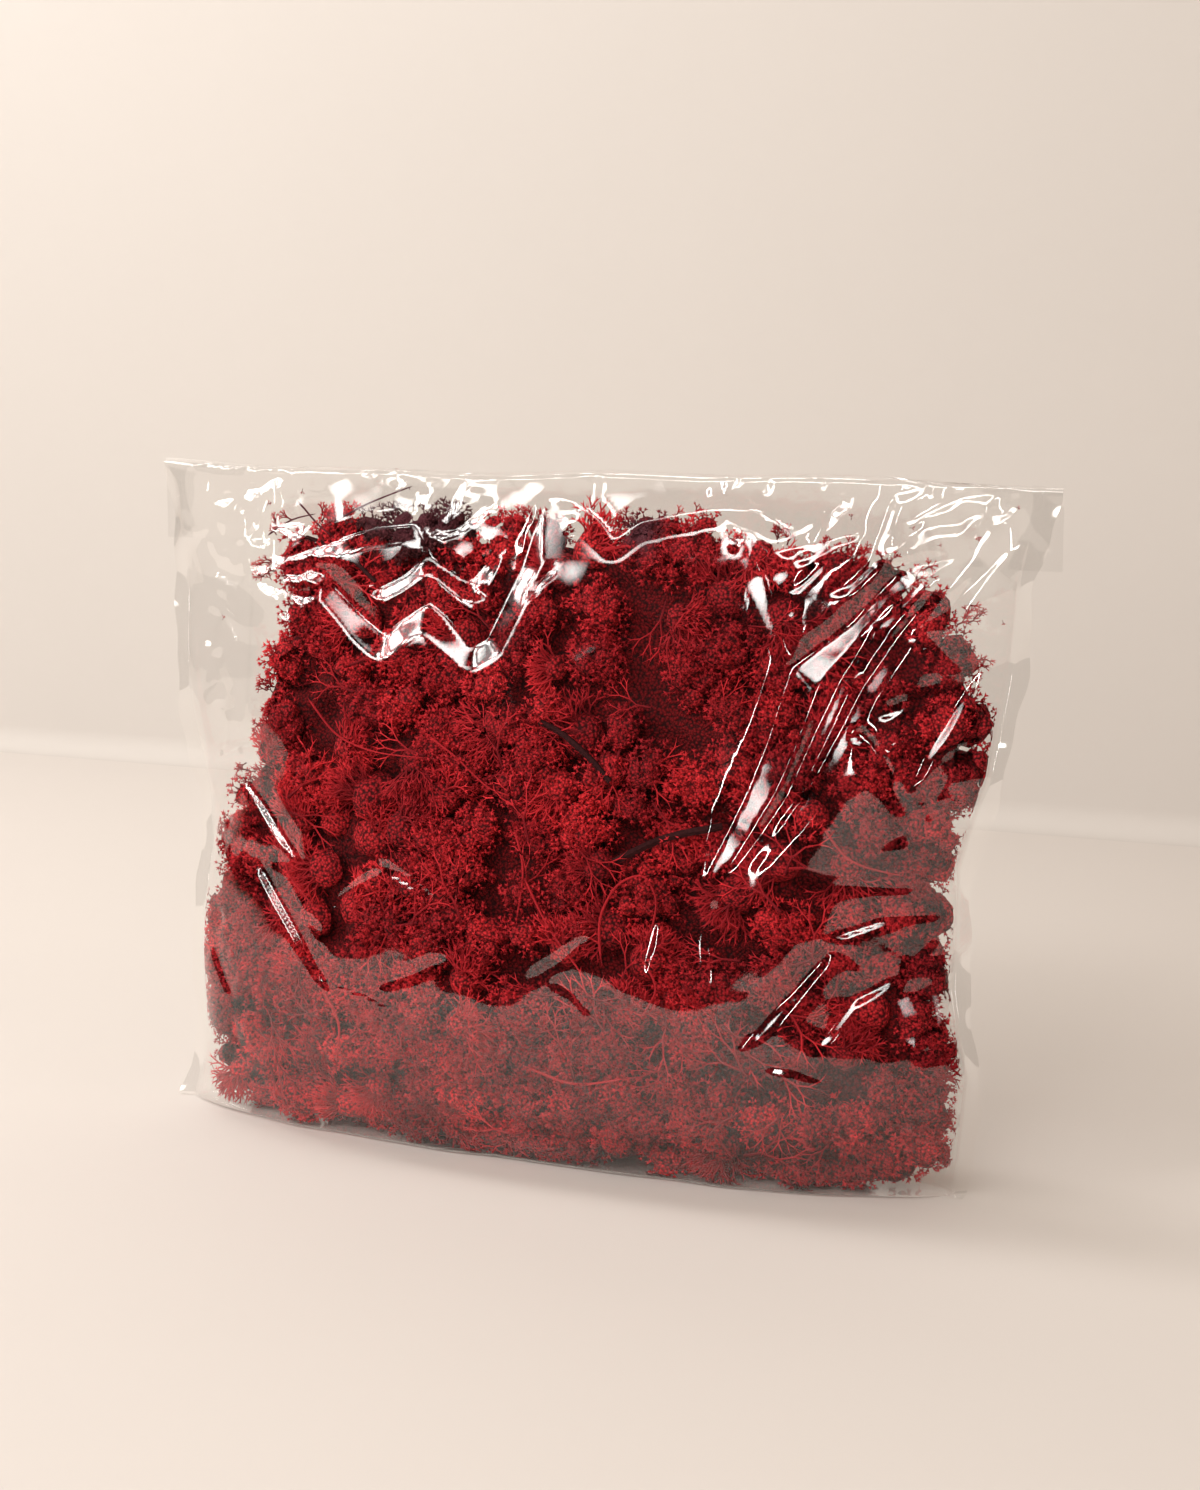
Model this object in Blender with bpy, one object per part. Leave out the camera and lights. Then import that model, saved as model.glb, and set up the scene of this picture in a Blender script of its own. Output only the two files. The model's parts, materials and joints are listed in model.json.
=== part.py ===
"""A clear film bag packed with dyed reindeer moss, standing on its narrow base.

Metres, +Z up. X runs along the bag's width, +Y is its back, and the origin is on the floor
under the middle of the bag's top band. The moss is a set of tufts that fill the bag as cells,
each a lumpy core with forked sprigs standing out of it towards the film.
"""

import math
import random

import bmesh
import bpy
import numpy as np
from mathutils import Vector
from mathutils.bvhtree import BVHTree

# The bag: its film, its height, and its edges and half depth as (height, value) pairs.
FILM = 0.0008
BAG_TOP = 0.2245
SEAM_FIN = 0.005
MOUTH_HALF_GAP = 0.0005
LEFT_EDGE = ((0.0, -0.154), (0.020, -0.151), (0.095, -0.145), (0.140, -0.1495), (0.205, -0.154))
RIGHT_EDGE = (
    (0.0, 0.131), (0.040, 0.136), (0.068, 0.130), (0.105, 0.131),
    (0.135, 0.141), (0.195, 0.148), (0.219, 0.1548),
)
HALF_DEPTH = (
    (0.0, 0.019), (0.008, 0.027), (0.025, 0.0338), (0.050, 0.0366), (0.068, 0.0366), (0.105, 0.0348),
    (0.140, 0.0308), (0.168, 0.0264), (0.188, 0.0208), (0.202, 0.0142), (0.212, 0.0078),
    (0.219, MOUTH_HALF_GAP),
)
MORE_ROWS = (0.086, 0.122, 0.154, BAG_TOP)
PROFILE_POWER = 3.0
PROFILE_FULLNESS = 0.7
HALF_COLUMNS = 9
SEAM_WAVE = 0.003
SEAM_WAVE_LENGTH = 0.085
SEAM_WAVE_LAG = 1.5
SEAM_WAVE_POWER = 6
BAND_RIPPLE = 0.0012
BAND_RIPPLE_LENGTH = 0.078
BAND_START = 0.185
SHARP_ANGLE = math.radians(40)

# The lip of the bag, folded over the mouth and down the back: its section is read at these drops.
LIP_HALF_WIDTH = 0.1553
LIP_DROPS = (0.0, 0.006, 0.0125, 0.020, 0.027)
LIP_FRONT_DROP = 0.005
LIP_CLEARANCE = 0.0006
LIP_FRONT_SINK = 0.0004
LIP_OVER_MOUTH = 0.0003
LIP_COLUMNS = 13

# The space that the moss fills, as (height, x) and (x, height) pairs, and its clearances.
MOSS_LEFT = (
    (0.003, -0.141), (0.035, -0.146), (0.096, -0.141), (0.118, -0.139), (0.132, -0.127), (0.191, -0.124),
)
MOSS_RIGHT = ((0.0, 0.122), (0.122, 0.133), (0.153, 0.136), (0.175, 0.137), (0.193, 0.126))
MOSS_TOP = (
    (-0.124, 0.194), (-0.106, 0.204), (-0.085, 0.212), (0.0, 0.212),
    (0.034, 0.214), (0.067, 0.210), (0.096, 0.203), (0.130, 0.188),
)
FILM_MARGIN = 0.0011
NEIGHBOUR_GAP = 0.0003
FLOOR_GAP = 0.0005
FARTHEST_REACH = 0.2
REACH_HALVINGS = 24

# Centres of the tufts as (x, z), row by row from the top left, and the numbers of the brown ones.
TUFT_CENTRES = (
    (-0.082, 0.183), (-0.022, 0.190), (0.049, 0.188), (0.106, 0.176),
    (-0.074, 0.138), (-0.009, 0.143), (0.050, 0.138), (0.104, 0.131),
    (-0.106, 0.087), (-0.044, 0.088), (0.016, 0.091), (0.070, 0.088), (0.112, 0.080),
    (-0.096, 0.034), (-0.031, 0.032), (0.034, 0.033), (0.092, 0.032),
    (-0.056, 0.207),
)
BROWN_TUFTS = (18,)
TUFT_SHIFT = 0.012
TOP_ROW_HEIGHT = 0.2
CORE_DEPTH = 0.0078
CORE_LUMPS = 0.0028
CORE_LEAST_SHARE = 0.4
CORE_LUMP_WAVES = ((5.1, 2.3, 3.7), (-2.9, 4.7, 4.1))
CORE_BLEND = 7.0
CORE_SUBDIVISIONS = 2

# The spikes on each core: how they lean, their share of the room up to the film, and the least height.
SPIKE_LEAN = (0.2, 0.6)
SPIKE_HEIGHT = (0.35, 0.85)
SPIKE_LEAST = 0.0015
FACING_SHARE = 1.12

# The forked sprigs: a three-sided stem that opens into three points.
SPRIG_SPACING = 0.0205
SPRIG_LOWEST = 0.009
SPRIG_EDGE = 0.004
SPRIG_JITTER = 0.003
SPRIG_LEAST = 0.0022
SPRIG_SINK = 0.0030
SPRIG_RADIUS = 0.0017
HEAD_RADIUS = 0.0016
HEAD_SHARE = 0.45
SPRIG_SPREAD = 0.19
TIP_SHARE_OF_PLANE = 0.97
TWIG_GAP = 0.0024
SEED = 41

# The twigs: radius, and the ends of each as (x, z) on the front of the moss.
TWIGS = (
    (0.0013, (0.022, 0.104), (0.056, 0.117)),
    (0.0010, (-0.006, 0.146), (0.019, 0.129)),
    (0.0007, (-0.099, 0.200), (-0.070, 0.187)),
)
TWIG_POINTS = 11
TWIG_BOW = 0.0022
TWIG_SEAT = 0.0007
TWIG_STEP = 0.0001
LINE_SAMPLES = 7
ROUTE_SAMPLES = 40

MATERIALS = {
    "clear_film": dict(colour=(0.93, 0.93, 0.92), roughness=0.06, alpha=0.18),
    "crimson_moss": dict(colour=(0.36, 0.008, 0.018), roughness=0.85, alpha=1.0),
    "brown_moss": dict(colour=(0.085, 0.025, 0.032), roughness=0.88, alpha=1.0),
    "dark_twig": dict(colour=(0.035, 0.012, 0.012), roughness=0.7, alpha=1.0),
}


def along(pairs, at):
    """The value at each place, read from (place, value) pairs on straight lines between them."""
    places, values = zip(*pairs)
    return np.interp(at, places, values)


def clear_scene():
    for obj in list(bpy.data.objects):
        bpy.data.objects.remove(obj, do_unlink=True)


def make_materials():
    made = {}
    for name, look in MATERIALS.items():
        material = bpy.data.materials.new(name)
        material.use_nodes = True
        shader = material.node_tree.nodes["Principled BSDF"]
        shader.inputs["Base Color"].default_value = (*look["colour"], 1.0)
        shader.inputs["Roughness"].default_value = look["roughness"]
        shader.inputs["Metallic"].default_value = 0.0
        shader.inputs["Alpha"].default_value = look["alpha"]
        material.diffuse_color = (*look["colour"], look["alpha"])
        made[name] = material
    return made


def add_object(name, points, faces, material):
    """One closed mesh, with its faces turned outwards."""
    mesh = bpy.data.meshes.new(name)
    mesh.from_pydata([tuple(map(float, point)) for point in points], [], faces)
    shape = bmesh.new()
    shape.from_mesh(mesh)
    bmesh.ops.recalc_face_normals(shape, faces=shape.faces)
    bmesh.ops.triangulate(shape, faces=shape.faces)
    shape.to_mesh(mesh)
    shape.free()
    mesh.materials.append(material)
    obj = bpy.data.objects.new(name, mesh)
    bpy.context.scene.collection.objects.link(obj)
    return obj


def seam_ends(z):
    """The x of the cavity's two ends at this height, inside the seam fins."""
    return along(LEFT_EDGE, z) + SEAM_FIN, along(RIGHT_EDGE, z) - SEAM_FIN


def across(x, z):
    """The place of x between the cavity's ends, from -1 to 1, held at the ends outside them."""
    left, right = seam_ends(z)
    return np.clip((2 * x - left - right) / (right - left), -1.0, 1.0)


def middle(x, z):
    """The y of the bag's middle sheet: wavy along the seams and rippled in the top band."""
    u = across(x, z)
    seams = SEAM_WAVE * np.sin(2 * math.pi * z / SEAM_WAVE_LENGTH + SEAM_WAVE_LAG * u)
    band = np.clip((z - BAND_START) / (BAG_TOP - BAND_START), 0.0, 1.0)
    ripples = BAND_RIPPLE * np.sin(2 * math.pi * x / BAND_RIPPLE_LENGTH)
    return seams * np.abs(u) ** SEAM_WAVE_POWER * (1 - band) + ripples * band


def half_depth(x, z):
    """Half the bag's inner depth there."""
    swell = (1 - np.abs(across(x, z)) ** PROFILE_POWER) ** PROFILE_FULLNESS
    return along(HALF_DEPTH, z) * swell


def loops_at(z):
    """The bag's outer and inner loops of points at one height. The inner one stays above the floor."""
    left, right = seam_ends(z)
    u = np.sin(np.linspace(-math.pi / 2, math.pi / 2, 2 * HALF_COLUMNS + 1))
    x = (left + right) / 2 + u * (right - left) / 2
    y, depth = middle(x, z), half_depth(x, z)
    fin_x = np.array([along(LEFT_EDGE, z), along(RIGHT_EDGE, z)])
    fin_y = middle(fin_x, z)
    outer_x = np.concatenate([fin_x[:1], x, fin_x[1:]])
    outer_y = np.concatenate([fin_y[:1], y, fin_y[1:]])
    outer_depth = np.concatenate([[0.0], depth, [0.0]]) + FILM
    front = [(a, b - d, z) for a, b, d in zip(outer_x, outer_y, outer_depth)]
    back = [(a, b + d, z) for a, b, d in zip(outer_x, outer_y, outer_depth)]
    inner_z = max(z, FILM)
    inner_front = [(a, b - d, inner_z) for a, b, d in zip(x, y, depth)]
    inner_back = [(a, b + d, inner_z) for a, b, d in zip(x, y, depth)]
    return front + back[::-1], inner_front + inner_back[-2:0:-1]


def bridge(low, high, count):
    """Quads between two closed loops of the same count, given by their first points."""
    return [(low + i, low + (i + 1) % count, high + (i + 1) % count, high + i) for i in range(count)]


def film_shell(material):
    """The bag without its lip: outer and inner skins, a floor, and a rim round the mouth."""
    heights = sorted({height for height, _ in HALF_DEPTH} | set(MORE_ROWS))
    loops = [loops_at(z) for z in heights]
    outer_count, inner_count = len(loops[0][0]), len(loops[0][1])
    points = [point for outer, _ in loops for point in outer]
    inner_start = len(points)
    points += [point for _, inner in loops for point in inner]
    faces = outer_floor(outer_count) + inner_floor(inner_start, inner_count)
    for row in range(len(heights) - 1):
        low, inner_low = row * outer_count, inner_start + row * inner_count
        faces += bridge(low, low + outer_count, outer_count)
        faces += bridge(inner_low, inner_low + inner_count, inner_count)
    faces += rim(inner_start - outer_count, outer_count, len(points) - inner_count, inner_count)
    return add_object("film_bag", points, faces, material)


def outer_floor(count):
    """The outer floor, as quads between the loop's front and back points."""
    return [(i, i + 1, count - 2 - i, count - 1 - i) for i in range(count // 2 - 1)]


def inner_floor(start, count):
    """The inner floor, whose loop comes to one point at each end."""
    columns = count // 2 + 1
    first = (start, start + 1, start + count - 1)
    last = (start + columns - 2, start + columns - 1, start + columns)
    between = [
        (start + i, start + i + 1, start + count - i - 1, start + count - i)
        for i in range(1, columns - 2)
    ]
    return [first, *between, last]


def rim(outer, outer_count, inner, inner_count):
    """The flat rim of the mouth, between the last outer loop and the last inner loop."""
    columns, half = inner_count // 2, outer_count // 2
    faces = []
    for i in range(columns):
        back, far, near = outer + outer_count - 2 - i, -(i + 1) % inner_count, -i % inner_count
        faces.append((outer + 1 + i, outer + 2 + i, inner + i + 1, inner + i))
        faces.append((back, back - 1, inner + far, inner + near))
    faces.append((outer + 1, inner, outer + outer_count - 2, outer + outer_count - 1, outer))
    faces.append((outer + half - 2, outer + half - 1, outer + half, outer + half + 1, inner + columns))
    return faces


def folded_lip(material):
    """The lip: up the front of the mouth, over it, and down the back close to the film."""
    top = BAG_TOP + LIP_OVER_MOUTH
    inside = MOUTH_HALF_GAP + FILM - LIP_FRONT_SINK
    points = []
    for x in np.linspace(-LIP_HALF_WIDTH, LIP_HALF_WIDTH, LIP_COLUMNS):
        front = middle(x, BAG_TOP) - inside
        points += [(x, front, top - LIP_FRONT_DROP), (x, front - FILM, top - LIP_FRONT_DROP)]
        points += [(x, front, top), (x, front - FILM, top + FILM)]
        for drop in LIP_DROPS:
            z = top - drop
            back = middle(x, z) + half_depth(x, z) + FILM + LIP_CLEARANCE
            points += [(x, back, z), (x, back + FILM, z if drop else z + FILM)]
    ring = 2 * (2 + len(LIP_DROPS))
    order = list(range(0, ring, 2)) + list(range(ring - 1, 0, -2))
    last = (LIP_COLUMNS - 1) * ring
    faces = end_quads(order) + end_quads([last + i for i in reversed(order)])
    for column in range(LIP_COLUMNS - 1):
        a, b = column * ring, (column + 1) * ring
        faces += [(a + i, a + j, b + j, b + i) for i, j in zip(order, order[1:] + order[:1])]
    return add_object("folded_lip", points, faces, material)


def end_quads(end):
    """The thin end face of the lip, as one quad for each stretch of its section."""
    count = len(end)
    return [(end[i], end[i + 1], end[count - 2 - i], end[count - 1 - i]) for i in range(count // 2 - 1)]


def unite(target, others):
    """Joins the objects into the target by one Boolean union, and removes them."""
    collection = bpy.data.collections.new("to_unite")
    bpy.context.scene.collection.children.link(collection)
    for obj in others:
        collection.objects.link(obj)
    modifier = target.modifiers.new("union", "BOOLEAN")
    modifier.operation = "UNION"
    modifier.operand_type = "COLLECTION"
    modifier.collection = collection
    bpy.context.view_layer.update()
    graph = bpy.context.evaluated_depsgraph_get()
    mesh = bpy.data.meshes.new_from_object(target.evaluated_get(graph))
    target.modifiers.clear()
    target.data = mesh
    mesh.name = target.name
    keep_main_surface(mesh)
    for obj in others:
        bpy.data.objects.remove(obj, do_unlink=True)
    bpy.data.collections.remove(collection)


def keep_main_surface(mesh):
    """Leaves out loose scraps, and the walls of any hollow that the union sealed."""
    shape = bmesh.new()
    shape.from_mesh(mesh)
    unseen = set(shape.verts)
    surfaces = []
    while unseen:
        ahead = [unseen.pop()]
        surface = set(ahead)
        while ahead:
            for edge in ahead.pop().link_edges:
                for vertex in edge.verts:
                    if vertex in unseen:
                        unseen.remove(vertex)
                        surface.add(vertex)
                        ahead.append(vertex)
        surfaces.append(surface)
    largest = max(surfaces, key=len)
    bmesh.ops.delete(shape, geom=[vertex for vertex in shape.verts if vertex not in largest], context="VERTS")
    shape.to_mesh(mesh)
    shape.free()


def within_moss_space(points):
    """For each point, whether it lies in the space that the moss fills."""
    x, y, z = points.T
    sides = (x > along(MOSS_LEFT, z)) & (x < along(MOSS_RIGHT, z))
    heights = (z > FILM + FLOOR_GAP) & (z < along(MOSS_TOP, x))
    return sides & heights & (np.abs(y - middle(x, z)) < half_depth(x, z) - FILM_MARGIN)


def reach_to_film(centre, directions):
    """How far each direction runs from the centre before it leaves the moss's space."""
    low = np.zeros(len(directions))
    high = np.full(len(directions), FARTHEST_REACH)
    for _ in range(REACH_HALVINGS):
        half = (low + high) / 2
        inside = within_moss_space(centre + directions * half[:, None])
        low, high = np.where(inside, half, low), np.where(inside, high, half)
    return low


def reach_to_plane(directions, normal, distance):
    """How far each direction runs before it comes to a plane at this distance along the normal."""
    slope = directions @ normal
    with np.errstate(divide="ignore"):
        return np.where(slope > 0, distance / slope, FARTHEST_REACH)


def reach_to_neighbours(index, centres, directions):
    """How far each direction runs before it meets the plane half way to another tuft, or the floor."""
    centre = centres[index]
    floor = centre[2] - FILM - FLOOR_GAP
    reach = np.minimum(reach_to_plane(directions, np.array([0.0, 0.0, -1.0]), floor), FARTHEST_REACH)
    for place in np.delete(centres, index, axis=0):
        apart = np.linalg.norm(place - centre)
        plane = reach_to_plane(directions, (place - centre) / apart, (apart - NEIGHBOUR_GAP) / 2)
        reach = np.minimum(reach, plane)
    return reach


def core_reach(index, centres, directions):
    """The radius of a tuft's core: flat against its neighbours, domed and lumpy towards the film."""
    planes = reach_to_neighbours(index, centres, directions)
    film = reach_to_film(centres[index], directions)
    first, second = (np.sin(directions @ np.array(wave)) for wave in CORE_LUMP_WAVES)
    lumps = CORE_LUMPS * (1 + first * second) / 2
    dome = np.maximum(film - CORE_DEPTH - lumps, CORE_LEAST_SHARE * film)
    return (planes ** -CORE_BLEND + dome ** -CORE_BLEND) ** (-1 / CORE_BLEND), film, planes


def sprig_places():
    """Places all over the face of the moss, front and back, on staggered rows."""
    places = []
    row_step = SPRIG_SPACING * math.sqrt(3) / 2
    for row, z in enumerate(np.arange(SPRIG_LOWEST, BAG_TOP, row_step)):
        shift = (row % 2) * SPRIG_SPACING / 2
        first, last = along(MOSS_LEFT, z) + shift + SPRIG_EDGE, along(MOSS_RIGHT, z) - SPRIG_EDGE
        for x in np.arange(first, last, SPRIG_SPACING):
            if z < along(MOSS_TOP, x) - SPRIG_EDGE:
                depth = half_depth(x, z) - FILM_MARGIN
                places += [(x, middle(x, z) - depth, z), (x, middle(x, z) + depth, z)]
    for x in np.arange(MOSS_TOP[0][0] + SPRIG_EDGE, MOSS_TOP[-1][0], SPRIG_SPACING):
        z = along(MOSS_TOP, x)
        places.append((x, middle(x, z), z))
    return np.array(places)


def core_shape(index, centres):
    """A tuft's core before its spikes: its points, its faces, and the tree that finds places on them."""
    ball = bmesh.new()
    bmesh.ops.create_icosphere(ball, subdivisions=CORE_SUBDIVISIONS, radius=1.0)
    directions = np.array([vertex.co.normalized() for vertex in ball.verts])
    faces = [tuple(vertex.index for vertex in face.verts) for face in ball.faces]
    ball.free()
    reach, _, _ = core_reach(index, centres, directions)
    points = centres[index] + directions * reach[:, None]
    return points, faces, BVHTree.FromPolygons([Vector(point) for point in points], faces)


def add_spikes(index, centres, points, faces, twigs, draw):
    """Raises a three-sided spike, to a height of its own, from each face that faces the film."""
    centre = centres[index]
    shares = np.array([[draw.uniform(*SPIKE_LEAN) for _ in range(3)] for _ in faces])
    shares /= shares.sum(axis=1)[:, None]
    feet = np.einsum("fc,fcx->fx", shares, points[np.array(faces)])
    directions = (feet - centre) / np.linalg.norm(feet - centre, axis=1)[:, None]
    _, film, planes = core_reach(index, centres, directions)
    all_points, all_faces = list(points), []
    for face, direction, foot, to_film, to_plane in zip(faces, directions, feet, film, planes):
        surface = np.linalg.norm(foot - centre)
        room = min(to_film, to_plane * TIP_SHARE_OF_PLANE) - surface
        height = room * draw.uniform(*SPIKE_HEIGHT)
        tip = centre + direction * (surface + height)
        hidden = to_film > FACING_SHARE * to_plane or height < SPIKE_LEAST
        if hidden or not clear_of_twigs(points[list(face)], tip, twigs):
            all_faces.append(face)
            continue
        apex = len(all_points)
        all_points.append(tip)
        all_faces += [(face[0], face[1], apex), (face[1], face[2], apex), (face[2], face[0], apex)]
    return np.array(all_points), all_faces


def clear_of_twigs(starts, end, twigs):
    """Whether the straight lines from these starts to one end keep clear of every twig."""
    share = np.linspace(0, 1, LINE_SAMPLES)[:, None, None]
    points = (starts + share * (end - starts)).reshape(-1, 3)
    for route, radius in twigs:
        stops = np.linspace(0, len(route) - 1, ROUTE_SAMPLES)
        fine = np.stack([np.interp(stops, range(len(route)), axis) for axis in route.T], axis=1)
        gaps = np.linalg.norm(points[:, None] - fine[None], axis=2)
        if gaps.min() < radius + TWIG_GAP:
            return False
    return True


def spokes(direction, angles):
    """Unit vectors square to the direction, at these angles round it."""
    aside = np.array(Vector(direction).orthogonal().normalized())
    other = np.cross(direction, aside)
    return np.cos(angles)[:, None] * aside + np.sin(angles)[:, None] * other


def sprig_points(index, centres, tree, direction, turn):
    """One sprig's points: its foot and head triangles, the head's middle, and three tips."""
    centre = centres[index]
    angles = turn + np.arange(3) * 2 * math.pi / 3
    tip_directions = direction + SPRIG_SPREAD * spokes(direction, angles + math.pi / 3)
    tip_directions /= np.linalg.norm(tip_directions, axis=1)[:, None]
    _, film, planes = core_reach(index, centres, tip_directions)
    reach = np.minimum(film, planes * TIP_SHARE_OF_PLANE)
    surface = tree.ray_cast(Vector(centre), Vector(direction))[3]
    foot = centre + direction * (surface - SPRIG_SINK)
    head = centre + direction * (surface + HEAD_SHARE * (reach.min() - surface))
    tips = centre + tip_directions * reach[:, None]
    corners = spokes(direction, angles)
    points = np.concatenate([foot + SPRIG_RADIUS * corners, head + HEAD_RADIUS * corners, [head], tips])
    return points, reach.min() - surface


def sprig_faces():
    """The faces between a sprig's points, in the order that sprig_points gives them."""
    faces = [(0, 2, 1)]
    for a, b in ((0, 1), (1, 2), (2, 0)):
        faces += [(a, b, 3 + b, 3 + a), (3 + a, 3 + b, 7 + a), (3 + b, 6, 7 + a), (6, 3 + a, 7 + a)]
    return faces


def make_sprigs(index, centres, tree, twigs, material, draw):
    """The sprigs of a tuft: one at each place that is nearer to it than to any other tuft."""
    places = sprig_places()
    owners = np.linalg.norm(places[:, None] - centres[None], axis=2).argmin(axis=1)
    made = []
    for place in places[owners == index]:
        aside = [draw.uniform(-SPRIG_JITTER, SPRIG_JITTER) for _ in range(3)]
        direction = place - centres[index] + aside
        direction /= np.linalg.norm(direction)
        points, room = sprig_points(index, centres, tree, direction, draw.uniform(0, 2 * math.pi))
        if room > SPRIG_LEAST and clear_of_twigs(points, points[6], twigs):
            made.append(add_object("sprig", points, sprig_faces(), material))
    return made


def twig_route(radius, start, end, trees):
    """Points along a twig, each moved in from the film until it nearly touches a core."""
    share = np.linspace(0, 1, TWIG_POINTS)
    bow = TWIG_BOW * np.sin(math.pi * share)
    xs = start[0] + (end[0] - start[0]) * share
    zs = start[1] + (end[1] - start[1]) * share + bow
    route = []
    for x, z in zip(xs, zs):
        outside = middle(x, z) - half_depth(x, z) + FILM_MARGIN + radius
        for y in np.arange(outside, 0.0, TWIG_STEP):
            if min(tree.find_nearest(Vector((x, y, z)))[3] for tree in trees) < radius + TWIG_SEAT:
                break
        route.append((x, y, z))
    route = np.array(route)
    route[1:-1, 1] = np.minimum(route[1:-1, 1], (route[:-2, 1] + route[2:, 1]) / 2)
    return route


def make_twig(name, route, radius, material):
    """A twig: a round tube with closed ends, along its route."""
    curve = bpy.data.curves.new(name, "CURVE")
    curve.dimensions = "3D"
    curve.bevel_depth = radius
    curve.bevel_resolution = 1
    curve.use_fill_caps = True
    spline = curve.splines.new("POLY")
    spline.points.add(len(route) - 1)
    for point, place in zip(spline.points, route):
        point.co = (*map(float, place), 1.0)
    curve.materials.append(material)
    bpy.context.scene.collection.objects.link(bpy.data.objects.new(name, curve))


def tuft_centres(draw):
    """The tufts' centres, each moved a little to the front or back, but not in the thin top row."""
    shifts = [draw.uniform(-TUFT_SHIFT, TUFT_SHIFT) for _ in TUFT_CENTRES]
    places = zip(TUFT_CENTRES, shifts)
    return np.array([(x, shift if z < TOP_ROW_HEIGHT else 0.0, z) for (x, z), shift in places])


def make_moss(materials):
    """The tufts and the twigs that lie on them."""
    draw = random.Random(SEED)
    centres = tuft_centres(draw)
    cores = [core_shape(index, centres) for index in range(len(centres))]
    trees = [tree for _, _, tree in cores]
    twigs = [(twig_route(radius, start, end, trees), radius) for radius, start, end in TWIGS]
    for index, (points, faces, tree) in enumerate(cores):
        number = index + 1
        look = materials["brown_moss" if number in BROWN_TUFTS else "crimson_moss"]
        spiked, spiked_faces = add_spikes(index, centres, points, faces, twigs, draw)
        tuft = add_object(f"moss_tuft_{number:02d}", spiked, spiked_faces, look)
        unite(tuft, make_sprigs(index, centres, tree, twigs, look, draw))
    for number, (route, radius) in enumerate(twigs, 1):
        make_twig(f"twig_{number:02d}", route, radius, materials["dark_twig"])


def main():
    clear_scene()
    materials = make_materials()
    bag = film_shell(materials["clear_film"])
    unite(bag, [folded_lip(materials["clear_film"])])
    bag.data.shade_smooth()
    bag.data.set_sharp_from_angle(angle=SHARP_ANGLE)
    make_moss(materials)


main()
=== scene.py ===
# %% [markdown]
# # A clear bag of crimson reindeer moss
#
# The object is a crisp clear film bag, about 31 cm wide and 22 cm tall, that stands on its narrow base. It is
# packed full of reindeer moss, a lichen that branches again and again until its tips are under a millimetre
# thick. Two things make such a picture: tens of thousands of real branch tips, and a thin film whose creases
# catch the light. Both are made here as mesh, one after the other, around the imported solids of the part.

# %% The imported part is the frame
import json
import math

import bmesh
import bpy
import numpy as np
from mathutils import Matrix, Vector


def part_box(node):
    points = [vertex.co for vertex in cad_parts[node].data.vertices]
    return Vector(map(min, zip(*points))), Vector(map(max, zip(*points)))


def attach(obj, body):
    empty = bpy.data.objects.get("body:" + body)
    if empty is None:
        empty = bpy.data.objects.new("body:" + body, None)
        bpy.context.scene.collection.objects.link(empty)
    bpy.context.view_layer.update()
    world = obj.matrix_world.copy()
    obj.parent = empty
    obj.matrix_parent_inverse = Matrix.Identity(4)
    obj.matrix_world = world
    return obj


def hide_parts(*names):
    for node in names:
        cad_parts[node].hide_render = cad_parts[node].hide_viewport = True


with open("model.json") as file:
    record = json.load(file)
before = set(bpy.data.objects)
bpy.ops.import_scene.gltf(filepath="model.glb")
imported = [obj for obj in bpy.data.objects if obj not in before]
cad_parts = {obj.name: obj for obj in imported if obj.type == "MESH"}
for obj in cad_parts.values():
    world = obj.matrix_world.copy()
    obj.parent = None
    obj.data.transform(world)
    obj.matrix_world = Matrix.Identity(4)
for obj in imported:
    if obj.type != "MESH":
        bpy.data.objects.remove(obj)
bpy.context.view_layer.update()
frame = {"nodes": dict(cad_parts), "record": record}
MM = 0.001

# %% [markdown]
# ## Camera
#
# The bag is seen from a little to its right and a little above. The angle, the distance and the lens were
# found together: they are the ones that put the four corners of a bag of this size where the photograph has
# them. A lens is stated here by its focal length in pixels, because that is what the corners give, and then
# turned into millimetres for Blender's 36 mm sensor.

# %% Camera
CAMERA_PLACE = (0.3302, -0.7626, 0.2764)
CAMERA_DOWN = 9.6
CAMERA_TURN = 23.0
IMAGE_HEIGHT = 1490
FOCAL_PIXELS = 2600
SENSOR = 36.0

camera = bpy.data.objects.new("camera", bpy.data.cameras.new("camera"))
camera.data.lens = SENSOR * FOCAL_PIXELS / IMAGE_HEIGHT
camera.data.sensor_width = SENSOR
camera.location = CAMERA_PLACE
camera.rotation_euler = (math.radians(90 - CAMERA_DOWN), 0, math.radians(CAMERA_TURN))
bpy.context.scene.collection.objects.link(camera)
bpy.context.scene.camera = camera
print("lens in mm", round(camera.data.lens, 1))

# %% [markdown]
# ## Nodes in a few words
#
# Every finish and lamp below is a small graph of nodes. Blender adds a node in one line, sets each input in
# another and draws each wire in a third, which hides what the graph does. A small helper for one node tree
# takes the settings and the values together, and a list of wires, so that each graph can be read at a glance.

# %% A helper for node trees
class Wiring:
    """Adds nodes to one node tree and links them."""

    def __init__(self, tree):
        self.tree = tree

    def add(self, kind, values=None, **settings):
        """A new node, with settings such as its operation and with values for some of its inputs."""
        node = self.tree.nodes.new("ShaderNode" + kind)
        for setting, choice in settings.items():
            setattr(node, setting, choice)
        for socket, value in (values or {}).items():
            node.inputs[socket].default_value = value
        return node

    def ramp(self, *stops):
        """A colour ramp between two stops, each a place and a colour."""
        node = self.add("ValToRGB")
        for element, (place, colour) in zip(node.color_ramp.elements, stops):
            element.position, element.color = place, (*colour, 1)
        return node

    def link(self, *wires):
        """Draws wires, each given as a node, its output, the next node and its input."""
        for source, output, target, socket in wires:
            self.tree.links.new(source.outputs[output], target.inputs[socket])


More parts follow.
